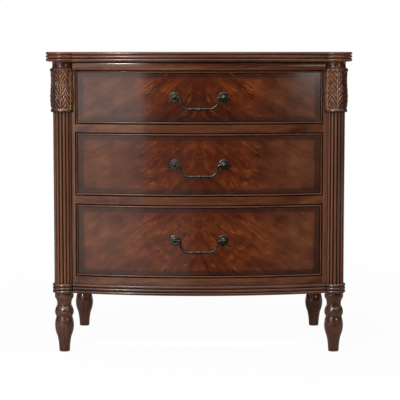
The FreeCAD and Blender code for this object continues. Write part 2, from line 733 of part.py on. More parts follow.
def make_bail(label, pivot):
    """A swinging bail: pins in the balls, elbows, arms, rounded corners and a turned grip."""
    pin = bind(doc.addObject("Part::Cylinder", label + "_pin"), Radius="pin_radius",
               Height="pivot_x + pin_reach - bail_half_width - elbow_radius",
               Placement=f"placement(vector(bail_half_width + elbow_radius; pivot_y; {pivot}); rotation(0; 90; 0))")
    arm = upright(label + "_arm", "rod_radius", "bail_half_width", "pivot_y",
                  (f"{pivot} - bail_drop + corner_radius", f"{pivot} - elbow_radius"))
    bends = []
    for name, radius, x, drop, turn in (
            ("elbow", "elbow_radius", "bail_half_width + elbow_radius", "elbow_radius", -90),
            ("corner", "corner_radius", "bail_half_width - corner_radius", "bail_drop - corner_radius", 90)):
        bend = doc.addObject("Part::Torus", f"{label}_{name}")
        bend.Angle3 = 90
        spot = f"placement(vector({x}; pivot_y; {pivot} - ({drop})); rotation(0; {turn}; 90))"
        bends.append(bind(bend, Radius1=radius, Radius2="rod_radius", Placement=spot))
    grip = turned(label + "_grip", GRIP_STEPS)
    bind(grip, Placement=f"placement(vector(0; pivot_y; {pivot} - bail_drop); rotation(0; 90; 0))")
    half = fuse(label + "_half", pin, arm, *bends, grip)
    return fuse(label, half, mirror(label + "_other", half))


quirk_floor = upright("quirk_floor", "bow_radius - quirk_depth", "0", "bow_axis_y", ("0", "total_height"))


def make_drawer(name):
    floor = name + "_floor"
    pivot = name + "_pivot"
    low = f"{floor} + front_gap"
    high = f"{name}_ceiling - front_gap"
    label = name + "_drawer_"

    # cock bead: four strips let into the edges of the front
    strips = []
    for edge, level in (("top", f"{high} - bead_thickness"), ("bottom", low)):
        hoop = turned(f"{label}{edge}_hoop", [
            ("bow_radius - bead_depth", "0"),
            ("bow_radius", "0"),
            ("bow_radius + bead_proud", "bead_thickness / 2", "bow_radius", "bead_thickness"),
            ("bow_radius - bead_depth", "bead_thickness"),
        ], "0", "bow_axis_y", level)
        window = box(f"{label}{edge}_window", ("-drawer_half", "drawer_half"), (AHEAD, "0"),
                     (f"{level} - bead_thickness", f"{level} + bead_thickness * 2"))
        strips.append(common(f"{label}{edge}_bead", hoop, window))
    span = (f"{low} + bead_thickness", f"{high} - bead_thickness")
    strip = box(label + "strip", ("bead_x", "drawer_half"), ("bead_nose_y", "bead_nose_y + bead_depth"), span)
    nose = upright(label + "nose", "bead_thickness / 2", "bead_nose_x", "bead_nose_y", span)
    end_bead = fuse(label + "end_bead", strip, nose)
    strips += [end_bead, mirror(label + "end_bead_left", end_bead)]
    bead = keep(group(label + "bead", *strips))

    # bottom and back
    side_low = f"{floor} + runner_gap"
    bottom_low = f"{side_low} + bottom_lift"
    bottom_high = f"{bottom_low} + drawer_bottom_thickness"
    back_end = "drawer_back_y + drawer_back_thickness"
    sheet = box(label + "sheet", ("-groove_x", "groove_x"), (AHEAD, back_end), (bottom_low, bottom_high))
    sheet_bow = upright(label + "sheet_bow", "bow_radius - front_thickness + groove_depth", "0", "bow_axis_y",
                        ("0", "total_height"))
    bottom = keep(common(label + "bottom", sheet, sheet_bow))
    back = keep(box(label + "back", ("-groove_x", "groove_x"), ("drawer_back_y", back_end),
                    (bottom_high, f"{high} - drawer_back_drop")))

    # half-blind dovetails of the right side
    side_high = f"{high} - side_top_gap"
    pitch = f"(({side_high}) - ({side_low})) / {TAILS[name]}"
    tails = []
    for row in range(TAILS[name]):
        middle = f"{side_low} + {pitch} * {row + 0.5}"
        wide = f"{pitch} * tail_share / 2"
        narrow = f"({wide} - tail_overlap / tail_slope)"
        tail = doc.addObject("Part::Wedge", f"{label}tail_{row}")
        tails.append(bind(tail, Xmin="drawer_side_x", Xmax="drawer_half", X2min="drawer_side_x",
                          X2max="drawer_half", Ymin="lap_y", Ymax="lap_y + tail_overlap",
                          Zmin=f"{middle} - {wide}", Zmax=f"{middle} + {wide}",
                          Z2min=f"{middle} - {narrow}", Z2max=f"{middle} + {narrow}"))
    tail_set = group(label + "tail_set", *tails)

    # front, drilled for the handles and cut for bead, tails and bottom
    board = box(label + "front_board", ("-drawer_half", "drawer_half"), (AHEAD, "0"), (low, high))
    blank = common(label + "front_blank", board, front_shell)
    hole = bind(doc.addObject("Part::Cylinder", label + "hole"), Radius="shank_hole_radius",
                Height="face_depth + shank_tail", Placement=along_handle("bow_radius - face_depth", pivot))
    # a quirk, the narrow groove that sets the bead off from the veneer
    inside = "bead_x - quirk_width"
    field_edge = box(label + "field_edge", ("-bead_x", "bead_x"), (AHEAD, "0"), span)
    field = box(label + "field", (f"-({inside})", inside), (AHEAD, "0"),
                (f"{span[0]} + quirk_width", f"{span[1]} - quirk_width"))
    quirk = cut(label + "quirk", field_edge, field, quirk_floor)
    front = cut(label + "front_beaded", blank, bead)
    front = cut(label + "front_quirked", front, quirk)
    front = cut(label + "front_socketed", front, pair(label + "tail_pair", tail_set))
    front = cut(label + "front_grooved", front, bottom)
    keep(cut(label + "front", front, pair(label + "holes", hole)))

    # sides
    plank = box(label + "plank", ("drawer_side_x", "drawer_half"), ("lap_y", "drawer_rear_y"),
                (side_low, side_high))
    side = fuse(label + "side_blank", cut(label + "side_butt", plank, blank), tail_set)
    side = cut(label + "side_grooved", side, bottom)
    keep(pair(label + "sides", cut(label + "side", side, back)))

    # handles
    post = bind(turned(label + "post_blank", POST_STEPS), Placement=along_handle("bow_radius - face_depth", pivot))
    bore = bind(doc.addObject("Part::Cylinder", label + "bore"), Radius="pin_radius + pin_clearance",
                Height="2 * ball_radius - 1",
                Placement=f"placement(vector(pivot_x - ball_radius - 0.5; pivot_y; {pivot}); rotation(0; 90; 0))")
    keep(pair(label + "handle_posts", cut(label + "post", post, bore)))
    seat = "bow_radius - front_thickness - washer_gap - washer_thickness"
    washer = bind(doc.addObject("Part::Cylinder", label + "washer"), Radius="washer_radius",
                  Height="washer_thickness", Placement=along_handle(seat, pivot))
    nut = bind(doc.addObject("Part::Prism", label + "nut"), Circumradius="nut_corner_radius",
               Height="nut_height", Placement=along_handle(f"{seat} - nut_height", pivot))
    thread = bind(doc.addObject("Part::Cylinder", label + "thread"), Radius="shank_radius", Height="face_depth",
                  Placement=along_handle("bow_radius - face_depth", pivot))
    fixing = cut(label + "fixing", fuse(label + "fixing_blank", washer, nut), thread)
    keep(pair(label + "handle_nuts", fixing))
    keep(make_bail(label + "bail", pivot))


for drawer in DRAWERS:
    make_drawer(drawer)

doc.recompute()

# Every object must have been computed and every piece must be sound before it is written.
for item in doc.Objects:
    if {"Invalid", "Error"} & set(item.State):
        raise RuntimeError(f"{item.Label}: {item.State}")
for node in nodes:
    if node.Shape.isNull() or not node.Shape.isValid() or not node.Shape.Solids:
        raise RuntimeError(f"{node.Label} is not a sound solid")

os.makedirs("parts", exist_ok=True)
for node in nodes:
    node.Shape.exportStep(f"parts/{node.Label}.step")
print(len(nodes), "pieces written")
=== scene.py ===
# %% [markdown]
# # A bow-front nightstand in polished mahogany
#
# The nightstand stands on turned legs, with three drawers between reeded corner columns. Its shapes were
# drawn in a CAD program and arrive here as named pieces on bodies that already slide and swing. This
# lesson gives them their finishes: lacquered mahogany, flame veneer, dark bronze and the plain woods
# inside. Only the two carved capitals are modelled anew, because fine carving is easier to shape in a
# mesh.

# %% Load the nightstand
import math

import bmesh
import bpy
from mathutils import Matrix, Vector


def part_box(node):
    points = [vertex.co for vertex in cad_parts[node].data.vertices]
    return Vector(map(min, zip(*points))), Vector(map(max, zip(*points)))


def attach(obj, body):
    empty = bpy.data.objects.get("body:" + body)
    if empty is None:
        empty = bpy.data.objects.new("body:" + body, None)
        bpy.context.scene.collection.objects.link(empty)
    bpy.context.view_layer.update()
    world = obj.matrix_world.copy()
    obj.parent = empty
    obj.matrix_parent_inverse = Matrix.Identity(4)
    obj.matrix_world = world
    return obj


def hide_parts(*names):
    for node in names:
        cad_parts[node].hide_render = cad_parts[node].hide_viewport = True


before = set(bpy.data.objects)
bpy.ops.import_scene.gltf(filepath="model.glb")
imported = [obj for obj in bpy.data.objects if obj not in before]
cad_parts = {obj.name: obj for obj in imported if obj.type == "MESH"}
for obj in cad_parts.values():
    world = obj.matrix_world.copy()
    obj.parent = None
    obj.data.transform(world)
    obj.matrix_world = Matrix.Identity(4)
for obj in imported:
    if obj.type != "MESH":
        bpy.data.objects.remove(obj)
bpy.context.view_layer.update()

# %% [markdown]
# ## The camera
#
# The photograph looks at the front from straight ahead, with the camera about level with the top. The
# rear feet, seen inside the front ones, show how near the camera stood: about 3.8 m from the middle.
# Tilting the camera down, and not shifting its lens, keeps every other view centred as well.

# %% Place the camera
CAMERA_SPOT = Vector((0.0023, -3.773, 0.7))
CAMERA_TILT = math.radians(5.337)
CAMERA_LENS = 138.2

scene = bpy.context.scene
scene.view_settings.view_transform = "Standard"
camera = bpy.data.objects.new("camera", bpy.data.cameras.new("camera"))
camera.data.lens = CAMERA_LENS
camera.location = CAMERA_SPOT
camera.rotation_euler = (math.pi / 2 - CAMERA_TILT, 0, 0)
scene.collection.objects.link(camera)
scene.camera = camera
print("camera stands", round(-CAMERA_SPOT.y, 2), "m in front of the middle, lens", CAMERA_LENS, "mm")

# %% [markdown]
# ## Small helpers for every finish
#
# Colours are easiest to choose as screen colours, while a shader wants linear light, so one function
# converts them. A second function adds a node, gives it its settings and links what it is handed, and a
# third starts a material. With these a finish reads like a recipe from top to bottom.


# %% Colours and nodes
def to_linear(hex_code):
    """A screen colour such as #5a3320 as the linear colour that shader sockets take."""
    channels = [int(hex_code[start:start + 2], 16) / 255 for start in (1, 3, 5)]
    return [c / 12.92 if c <= 0.04045 else ((c + 0.055) / 1.055) ** 2.4 for c in channels] + [1]


def add(tree, kind, links=None, stops=(), **settings):
    """Add one node: settings are its own options, links its socket values or the nodes that feed them."""
    node = tree.nodes.new("ShaderNode" + kind)
    for name, value in settings.items():
        setattr(node, name, value)
    for name, value in (links or {}).items():
        source = value.outputs[0] if isinstance(value, bpy.types.Node) else value
        if isinstance(source, bpy.types.NodeSocket):
            tree.links.new(source, node.inputs[name])
        else:
            node.inputs[name].default_value = source
    for number, (position, colour) in enumerate(stops):
        marks = node.color_ramp.elements
        mark = marks[number] if number < len(marks) else marks.new(position)
        mark.position, mark.color = position, to_linear(colour)
    return node


def new_finish(name):
    """An empty material and its node tree."""
    finish = bpy.data.materials.new(name)
    finish.use_nodes = True
    finish.node_tree.nodes.clear()
    return finish, finish.node_tree


print("a middle mahogany brown in linear light:", [round(c, 3) for c in to_linear("#5a3320")[:3]])

# %% [markdown]
# ## Glaze, wear and painted light
#
# A polisher rubs dark glaze over a stained piece and wipes it off again. It stays behind in grooves and
# corners, and years of dusting bare the outer edges. Here the dark colour in grooves, in corners and
# between neighbouring parts is partly glaze and partly painted shade. The paler edges are partly wear
# and partly painted highlight. Both could be painted by hand, piece by piece. Occlusion nodes find these
# places by themselves: one asks how closed in a point is, looking outwards, and the other how thin the
# wood is behind it, looking inwards.

# %% Glaze, wear and painted light that follow the shape
MM = 0.001
GROOVE_REACH = 9 * MM
CORNER_REACH = 4 * MM
EDGE_REACH = 2.5 * MM


def glaze_wear_and_painted_light(tree, spot, hollows, bare, reach=GROOVE_REACH):
    """How much glaze and painted shade lie on a point, and how much an edge is paled by wear and painted
    highlight; hollows say how open the darkest and the clearest place are.
    """
    # glaze and painted shade: darker where a point is closed in, also by a neighbouring part
    groove = add(tree, "AmbientOcclusion", {"Distance": reach}, samples=8)
    darkest_at, clearest_at = hollows
    glazed_and_shaded = add(tree, "MapRange", {"Value": groove.outputs["AO"], "From Min": darkest_at, "From Max": clearest_at,
                                    "To Min": 1, "To Max": 0})
    # wear and painted highlight: paler where the wood behind a point is thin, as at edges
    edge = add(tree, "AmbientOcclusion", {"Distance": EDGE_REACH}, samples=6, only_local=True, inside=True)
    rubbed_and_highlit = add(tree, "MapRange", {"Value": edge.outputs["AO"], "From Min": 0.45, "From Max": 0.9,
                                    "To Min": bare, "To Max": 0})
    return glazed_and_shaded, rubbed_and_highlit


print("glaze reaches", round(GROOVE_REACH / MM, 1), "mm, edge wear", round(EDGE_REACH / MM, 1), "mm")

# %% [markdown]
# ## Straight-grained wood
#
# Rails, posts, columns and legs are solid mahogany, sawn along the grain, stained, glazed and lacquered.
# The eye sees long soft ribbons of lighter and darker brown, short dark pores, and a gloss not quite a
# mirror. A picture of wood wrapped round each piece would show seams and would stretch on the turnings.
# Noise drawn out along the grain runs right through a piece, as real grain does, so this way was chosen.

# %% Wood recipe
RIBBON_WIDE, RIBBON_LONG = 22 * MM, 380 * MM
# real pores are 0.2 mm wide and 5 mm long, drawn coarser here so that they show at all
PORE_WIDE, PORE_LONG = 1.6 * MM, 26 * MM
PORE_DEEP, PORE_SHARE = 0.2 * MM, 0.35
# where the dark, middle and light brown lie on the scale of ribbons and pores together
BROWN_STOPS = (0.5, 0.67, 0.84)
LACQUER_IOR, COAT_ROUGHNESS = 1.5, 0.12


def stretched(grain, wide, long):
    """Mapping scale that draws a pattern out along one axis."""
    return [1 / (long if axis == grain else wide) for axis in "XYZ"]


def straight_wood(name, grain, browns, glaze_shade_colour, rubbed_and_highlit, roughness, coat, wear_and_painted_light=glaze_wear_and_painted_light, **glaze_and_light_settings):
    """Sawn wood with its grain along X, Y or Z; browns run from dark to light."""
    finish, tree = new_finish(name)
    spot = add(tree, "TexCoord").outputs["Object"]
    ribbon_spot = add(tree, "Mapping", {"Vector": spot, "Scale": stretched(grain, RIBBON_WIDE, RIBBON_LONG)})
    ribbon = add(tree, "TexNoise", {"Vector": ribbon_spot, "Scale": 1, "Detail": 5, "Roughness": 0.6,
                                    "Distortion": 0.4})
    pore_spot = add(tree, "Mapping", {"Vector": spot, "Scale": stretched(grain, PORE_WIDE, PORE_LONG)})
    pores = add(tree, "TexNoise", {"Vector": pore_spot, "Scale": 1, "Detail": 2})
    figure = add(tree, "Math", {0: pores, 1: PORE_SHARE, 2: ribbon}, operation="MULTIPLY_ADD")
    wood = add(tree, "ValToRGB", {"Fac": figure}, zip(BROWN_STOPS, browns))
    in_hollow, on_edge = wear_and_painted_light(tree, spot, **glaze_and_light_settings)
    # the glaze colour in hollows is partly glaze and partly painted shade; the rubbed colour on edges is
    # partly wear and partly painted highlight
    glazed_and_shaded = add(tree, "Mix", {0: in_hollow, 6: wood, 7: to_linear(glaze_shade_colour)}, data_type="RGBA")
    colour = add(tree, "Mix", {0: on_edge, 6: glazed_and_shaded.outputs[2], 7: to_linear(rubbed_and_highlit)}, data_type="RGBA")
    gloss = add(tree, "MapRange", {"Value": figure, "From Min": 0.4, "From Max": 0.9,
                                   "To Min": roughness * 1.12, "To Max": roughness * 0.88})
    bump = add(tree, "Bump", {"Height": pores, "Strength": 0.12, "Distance": PORE_DEEP})
    shader = add(tree, "BsdfPrincipled", {"Base Color": colour.outputs[2], "Roughness": gloss, "Normal": bump,
                                          "IOR": LACQUER_IOR, "Coat Weight": coat,
                                          "Coat Roughness": COAT_ROUGHNESS})
    add(tree, "OutputMaterial", {"Surface": shader})
    return finish


print("ribbons", round(RIBBON_WIDE / MM), "mm wide, pores", round(PORE_WIDE / MM, 1), "mm wide")

# %% [markdown]
# ## Mahogany for the flat parts of the case
#
# One tree gives many browns, and the stain takes differently on a rail and on a post. The paler browns
# of the front posts and the base rail are partly painted sheen. So the parts of the case share one recipe,
# and each takes the browns, the glaze and wear with their painted shade and highlight, and the gloss that
# suit it.

# %% Flat mahogany
RAIL_BROWNS = ("#37170b", "#542d1c", "#6b3d24")
GLAZE_AND_SHADE = "#140803"
FLAT_HOLLOWS, FLAT_EDGE_PALING = (0.42, 0.93), 0.15

# divider rails and side panels: deep red-brown, polished until lamps show as soft bars
flat_mahogany = {grain: straight_wood(f"polished_mahogany_{grain}", grain, RAIL_BROWNS, GLAZE_AND_SHADE, "#84512f",
                                      roughness=0.15, coat=0.2, hollows=FLAT_HOLLOWS, bare=FLAT_EDGE_PALING)
                 for grain in "XZ"}
# the rounded frieze: the same brown under a softer polish, so that its highlight is a glow and not a line
frieze_mahogany = straight_wood("frieze_mahogany", "X", RAIL_BROWNS, GLAZE_AND_SHADE, "#84512f",
                                roughness=0.2, coat=0, hollows=FLAT_HOLLOWS, bare=FLAT_EDGE_PALING)
# the base rail: a little paler and greyer than the rails above it, which is painted sheen from the floor's
# reflection
base_rail_mahogany = straight_wood("base_rail_mahogany", "X", ("#3e1f11", "#5d3725", "#744931"), GLAZE_AND_SHADE,
                                   "#8c6148", roughness=0.18, coat=0.2, hollows=FLAT_HOLLOWS, bare=FLAT_EDGE_PALING)
# front posts: the palest strips, paler partly as painted sheen, with dark glaze and painted shade kept close
# to their corners beside the columns
post_mahogany = straight_wood("post_mahogany", "Z", ("#422213", "#633c29", "#7b4e36"), GLAZE_AND_SHADE, "#94694f",
                              roughness=0.15, coat=0.2, hollows=(0.6, 0.95), bare=FLAT_EDGE_PALING,
                              reach=CORNER_REACH)
print("flat woods:", *(m.name for m in flat_mahogany.values()), frieze_mahogany.name, base_rail_mahogany.name,
      post_mahogany.name)

# %% [markdown]
# ## Mahogany for mouldings and turnings
#
# On a moulding the glaze lies in every quirk together with painted shade, and the edges are rubbed
# bright and carry painted highlight, so the profile reads as fine lines. The turned legs shine more than
# anything else, because a turning is burnished on the lathe before it is lacquered.

# %% Moulded and turned mahogany
# the top and its moulded edge: warm brown with thin golden lines along the edges, which are partly wear and
# partly painted highlight
moulded_mahogany = straight_wood("moulded_mahogany", "X", ("#3d1a0d", "#5e3320", "#774429"), GLAZE_AND_SHADE, "#b8733c",
                                 roughness=0.18, coat=0.25, hollows=(0.38, 0.92), bare=0.55)
# base mouldings: darker brown, with glaze and painted shade between the reeds, and crests paled by wear and
# painted highlight
BASE_BROWNS = ("#331509", "#4f2917", "#663921")
base_mahogany = {grain: straight_wood(f"reeded_base_mahogany_{grain}", grain, BASE_BROWNS, GLAZE_AND_SHADE, "#94694f",
                                      roughness=0.2, coat=0.25, hollows=(0.5, 0.97), bare=0.5)
                 for grain in "XY"}
# legs and base rings: cool dark brown under a full coat of lacquer, with small sharp highlights
turned_mahogany = straight_wood("turned_mahogany", "Z", ("#33190f", "#4d2c20", "#623e2c"), GLAZE_AND_SHADE, "#8a5c42",
                                roughness=0.14, coat=1, hollows=(0.45, 0.97), bare=0.3)
# cock beads: slips paler than the rest, partly by wear and partly as painted highlight, which draw a fine
# line round each drawer
bead_mahogany = straight_wood("cock_bead_mahogany", "X", ("#42220f", "#572f1a", "#6a3e22"), GLAZE_AND_SHADE, "#845331",
                              roughness=0.26, coat=0.15, hollows=(0.25, 0.75), bare=0.35)
print("mouldings:", moulded_mahogany.name, *(m.name for m in base_mahogany.values()), bead_mahogany.name)
print("turnings:", turned_mahogany.name)

# %% [markdown]
# ## Plain woods inside
#
# Drawer sides, runners and frames are of a cheaper wood, planed and left bare. The back and the flat
# panels are ply. The recipe for mahogany serves here as well, with pale browns, a dull surface and no
# lacquer; its dark corners are dust and painted shade together.

# %% Oak and plywood
INSIDE_HOLLOWS, INSIDE_EDGE_PALING = (0.3, 0.85), 0.5

# planed oak: dull straw brown with soft ribbons, darker in the corners with dust and painted shade
OAK_BROWNS = ("#8a6a48", "#a98760", "#bf9f76")
drawer_oak = {grain: straight_wood(f"planed_oak_{grain}", grain, OAK_BROWNS, "#2e1f12", "#c9ac84",
                                   roughness=0.55, coat=0, hollows=INSIDE_HOLLOWS, bare=INSIDE_EDGE_PALING)
              for grain in "XY"}
# sanded plywood: browner than the oak and quite matt
PLY_BROWNS = ("#7a5a3e", "#94714f", "#a98763")
plywood = {grain: straight_wood(f"sanded_plywood_{grain}", grain, PLY_BROWNS, "#4a3422", "#b39270",
                                roughness=0.6, coat=0, hollows=INSIDE_HOLLOWS, bare=INSIDE_EDGE_PALING)
           for grain in "XZ"}
print("plain woods:", *(m.name for m in (*drawer_oak.values(), *plywood.values())))

# %% [markdown]
# ## Reeded wood for the columns
#
# Half-round reeds run up each column, and the dark glaze fills the narrow valleys between them, with
# painted shade there as well; the crests are rubbed paler, partly as painted highlight. Occlusion would
# blur such narrow valleys. The finish knows the column's axis instead, and the distance from it says
# whether a point is a valley or a crest. Occlusion only adds the glaze and painted shade in the corner
# beside the post.

# %% Column finish
COLUMN_X, COLUMN_Y = 321 * MM, -151.69 * MM
# distances from the column's axis: valleys, where the glaze and painted shade end, where the rubbed part with
# painted highlight begins, and crests
VALLEY, GLAZE_AND_SHADE_TOP, RUB_AND_HIGHLIGHT_FOOT, CREST = 20.6 * MM, 22.7 * MM, 22.0 * MM, 22.9 * MM


def reed_glaze_and_painted_light(tree, spot):
    """Glaze and painted shade in the valleys and beside the post, and wood paled on the crests by wear and
    painted highlight.
    """
    sides = add(tree, "SeparateXYZ", {"Vector": spot})
    aside = add(tree, "Math", {0: sides.outputs["X"]}, operation="ABSOLUTE")
    off_axis = add(tree, "VectorMath", {0: add(tree, "CombineXYZ", {"X": aside, "Y": sides.outputs["Y"]}),
                                        1: (COLUMN_X, COLUMN_Y, 0)}, operation="DISTANCE").outputs["Value"]
    valley = add(tree, "MapRange", {"Value": off_axis, "From Min": VALLEY, "From Max": GLAZE_AND_SHADE_TOP,
                                    "To Min": 1, "To Max": 0}, interpolation_type="SMOOTHSTEP")
    corner = add(tree, "AmbientOcclusion", {"Distance": CORNER_REACH}, samples=8)
    in_corner = add(tree, "MapRange", {"Value": corner.outputs["AO"], "From Min": 0.5, "From Max": 0.9,
                                       "To Min": 1, "To Max": 0})
    glazed_and_shaded = add(tree, "Math", {0: valley, 1: in_corner}, operation="MAXIMUM")
    rubbed_and_highlit = add(tree, "MapRange", {"Value": off_axis, "From Min": RUB_AND_HIGHLIGHT_FOOT, "From Max": CREST,
                                    "To Max": 0.35})
    return glazed_and_shaded, rubbed_and_highlit


# columns: brown crests between black lines of glaze and painted shade, a shade less glossy than the flat
# parts
reeded_mahogany = straight_wood("reeded_mahogany", "Z", ("#3d1d0e", "#5b321f", "#704228"), GLAZE_AND_SHADE, "#835840",
                                roughness=0.24, coat=0.2, wear_and_painted_light=reed_glaze_and_painted_light)
print("columns:", reeded_mahogany.name, "with valleys", round((CREST - VALLEY) / MM, 1), "mm deep")

# %% [markdown]
# ## Flame veneer: the strokes
#
# Each front wears two sheets of crotch mahogany, cut where a branch leaves the trunk and opened like a
# book. Long strokes leave the middle line steeply and lean outwards, sway a little, and fade to clouds at
# the ends. The book comes from using the distance to the middle line in place of the left-right position.
# Noise is then read in stretched coordinates that follow the strokes: broad ones carry fine ones, as real
# fibres do.

# %% Strokes
CLOUD_SIZE = 42 * MM
SWAY_SIZE, SWAY_BY = 70 * MM, 48 * MM
# how strongly the strokes lean outwards, and how soon they straighten
LEAN, LEAN_POWER = 0.455, 0.6
# widths and lengths; real fibres are far finer, and the fine strokes are bundles of them that still show
BROAD_WIDE, BROAD_LONG = 27 * MM, 120 * MM
FINE_WIDE, FINE_LONG = 3.4 * MM, 30 * MM
# the flame is full inside the first distance from the middle line and calm beyond the second
FLAME_FULL, FLAME_CALM = 80 * MM, 250 * MM
# how much the fine strokes and the clouds count beside the broad strokes
FINE_SHARE, CLOUD_SHARE = 0.3, 0.7
# how far the strokes fade at the ends, and the middle value that they fade to
FADE_SHARE, FADE_TO = 0.25, 0.65


def veneer_strokes(tree, book, aside, level, seed):
    """The fine strokes, all strokes and clouds together, and how far out into the calm ends a point lies."""
    cloud = add(tree, "TexNoise", {"Vector": book, "Scale": 1 / CLOUD_SIZE, "Detail": 4, "Roughness": 0.6})
    sway = add(tree, "TexNoise", {"Vector": book, "Scale": 1 / SWAY_SIZE, "Detail": 3, "Roughness": 0.55})
    fall = add(tree, "Math", {0: aside, 1: LEAN_POWER}, operation="POWER")
    across = add(tree, "Math", {0: fall, 1: LEAN, 2: level}, operation="MULTIPLY_ADD")
    swaying = add(tree, "Math", {0: sway, 1: SWAY_BY, 2: across}, operation="MULTIPLY_ADD")
    stroke = add(tree, "CombineXYZ", {"X": swaying, "Y": aside, "Z": seed})
    broad_spot = add(tree, "Mapping", {"Vector": stroke, "Scale": (1 / BROAD_WIDE, 1 / BROAD_LONG, 1)})
    broad = add(tree, "TexNoise", {"Vector": broad_spot, "Scale": 1, "Detail": 4, "Roughness": 0.6})
    fine_spot = add(tree, "Mapping", {"Vector": stroke, "Scale": (1 / FINE_WIDE, 1 / FINE_LONG, 1)})
    fine = add(tree, "TexNoise", {"Vector": fine_spot, "Scale": 1, "Detail": 3})
    strokes = add(tree, "Math", {0: fine, 1: FINE_SHARE, 2: broad}, operation="MULTIPLY_ADD")
    out = add(tree, "MapRange", {"Value": aside, "From Min": FLAME_FULL, "From Max": FLAME_CALM},
              interpolation_type="SMOOTHSTEP")
    fading = add(tree, "Math", {0: out, 1: FADE_SHARE}, operation="MULTIPLY")
    faded = add(tree, "Mix", {0: fading, 2: strokes, 3: FADE_TO}, data_type="FLOAT").outputs[0]
    feathers = add(tree, "Math", {0: cloud, 1: CLOUD_SHARE, 2: faded}, operation="MULTIPLY_ADD")
    return fine, feathers, out


print("fine strokes", round(FINE_WIDE / MM, 1), "mm wide, broad ones", round(BROAD_WIDE / MM), "mm wide")

# %% [markdown]
# ## Flame veneer: the fork and the colours
#
# Where the branch left the trunk, a little above the middle, the fibres curl and the wood is dark. Round
# it the stain turns fiery, and towards the ends it stays a calm brown. Beside the middle, patches of
# fibres stand on end and flash orange. Each of these is a layer of its own, mixed over the one before, so
# that each can be tuned alone.

# %% Fork and colours
FORK_RISE = 33 * MM
FORK_NEAR, FORK_FAR = 15 * MM, 75 * MM
CURL_SIZE, PATCH_SIZE = 20 * MM, 26 * MM
# how far beside the middle line the patches are brightest, and where they begin and cease to fade
FLASH_ASIDE, FLASH_NEAR, FLASH_FAR = 85 * MM, 40 * MM, 90 * MM
FIERY_BROWNS = ((0.15, "#36130a"), (0.45, "#55240f"), (0.65, "#6c3214"), (0.9, "#8c4a1d"))
CALM_BROWNS = ((0.25, "#3e2116"), (0.5, "#5c331f"), (0.75, "#744529"))


def curled_fork(tree, book, seed, feathers):
    """The feathers with a dark curl round the fork."""
    curl = add(tree, "TexNoise", {"Vector": book, "Scale": 1 / CURL_SIZE, "Detail": 4, "Distortion": 1.6})
    off_fork = add(tree, "VectorMath", {0: book, 1: (0, FORK_RISE, seed)}, operation="DISTANCE")
    at_fork = add(tree, "MapRange", {"Value": off_fork.outputs["Value"], "From Min": FORK_NEAR,
                                     "From Max": FORK_FAR, "To Min": 0.85, "To Max": 0},
                  interpolation_type="SMOOTHSTEP")
    curly = add(tree, "Math", {0: curl, 1: 0.9, 2: 0.55}, operation="MULTIPLY_ADD")
    return add(tree, "Mix", {0: at_fork, 2: feathers, 3: curly}, data_type="FLOAT").outputs[0]


def stained(tree, figure, out, shade):
    """The stained figure: fiery by the middle, calm and brown at the ends; shade darkens the fiery part."""
    fire = add(tree, "MapRange", {"Value": figure, "From Min": 0.6 + shade, "From Max": 1.48 + shade})
    fiery = add(tree, "ValToRGB", {"Fac": fire}, FIERY_BROWNS)
    rest = add(tree, "MapRange", {"Value": figure, "From Min": 0.5, "From Max": 1.55})
    calm = add(tree, "ValToRGB", {"Fac": rest}, CALM_BROWNS)
    return add(tree, "Mix", {0: out, 6: fiery, 7: calm}, data_type="RGBA").outputs[2]


def flashing(tree, field, patches, aside, fine):
    """The field with orange flashes: fine strokes inside patches beside the middle."""
    patch = add(tree, "MapRange", {"Value": patches, "From Min": 0.5, "From Max": 0.66})
    streaks = add(tree, "MapRange", {"Value": fine, "From Min": 0.47, "From Max": 0.66})
    off_middle = add(tree, "Math", {0: aside, 1: FLASH_ASIDE}, operation="SUBTRACT")
    apart = add(tree, "Math", {0: off_middle}, operation="ABSOLUTE")
    beside = add(tree, "MapRange", {"Value": apart, "From Min": FLASH_NEAR, "From Max": FLASH_FAR,
                                    "To Min": 0.4, "To Max": 0})
    streaky = add(tree, "Math", {0: patch, 1: streaks}, operation="MULTIPLY")
    lit = add(tree, "Math", {0: streaky, 1: beside}, operation="MULTIPLY")
    return add(tree, "Mix", {0: lit, 6: field, 7: to_linear("#bd6c2c")}, data_type="RGBA").outputs[2]


print("the fork lies", round(FORK_RISE / MM), "mm above the middle of each front")

# %% [markdown]
# ## Flame veneer: toned edges
#
# The polisher sprayed dark toner round the edges, so each front darkens towards its bead, further in at
# its ends. The distance to the nearest edge gives the band, and the patches of the figure keep its inner
# border uneven. The fine groove beside the bead, the quirk, is painted almost black as painted shade.

# %% Toned edges
TONED_TALL, TONED_WIDE = 14 * MM, 17 * MM
# how far the border of the spray wavers, and over what distance it fades out on either side
SPRAY_WAVER, SPRAY_OUTER, SPRAY_INNER = 6 * MM, 3 * MM, 5 * MM
BEAD, QUIRK = 3 * MM, 1.6 * MM
# where the painted shade in the quirk begins and where it is full
QUIRK_SHADE_START, QUIRK_SHADE_FULL = -BEAD - QUIRK - 0.5 * MM, -BEAD - QUIRK + 0.1 * MM


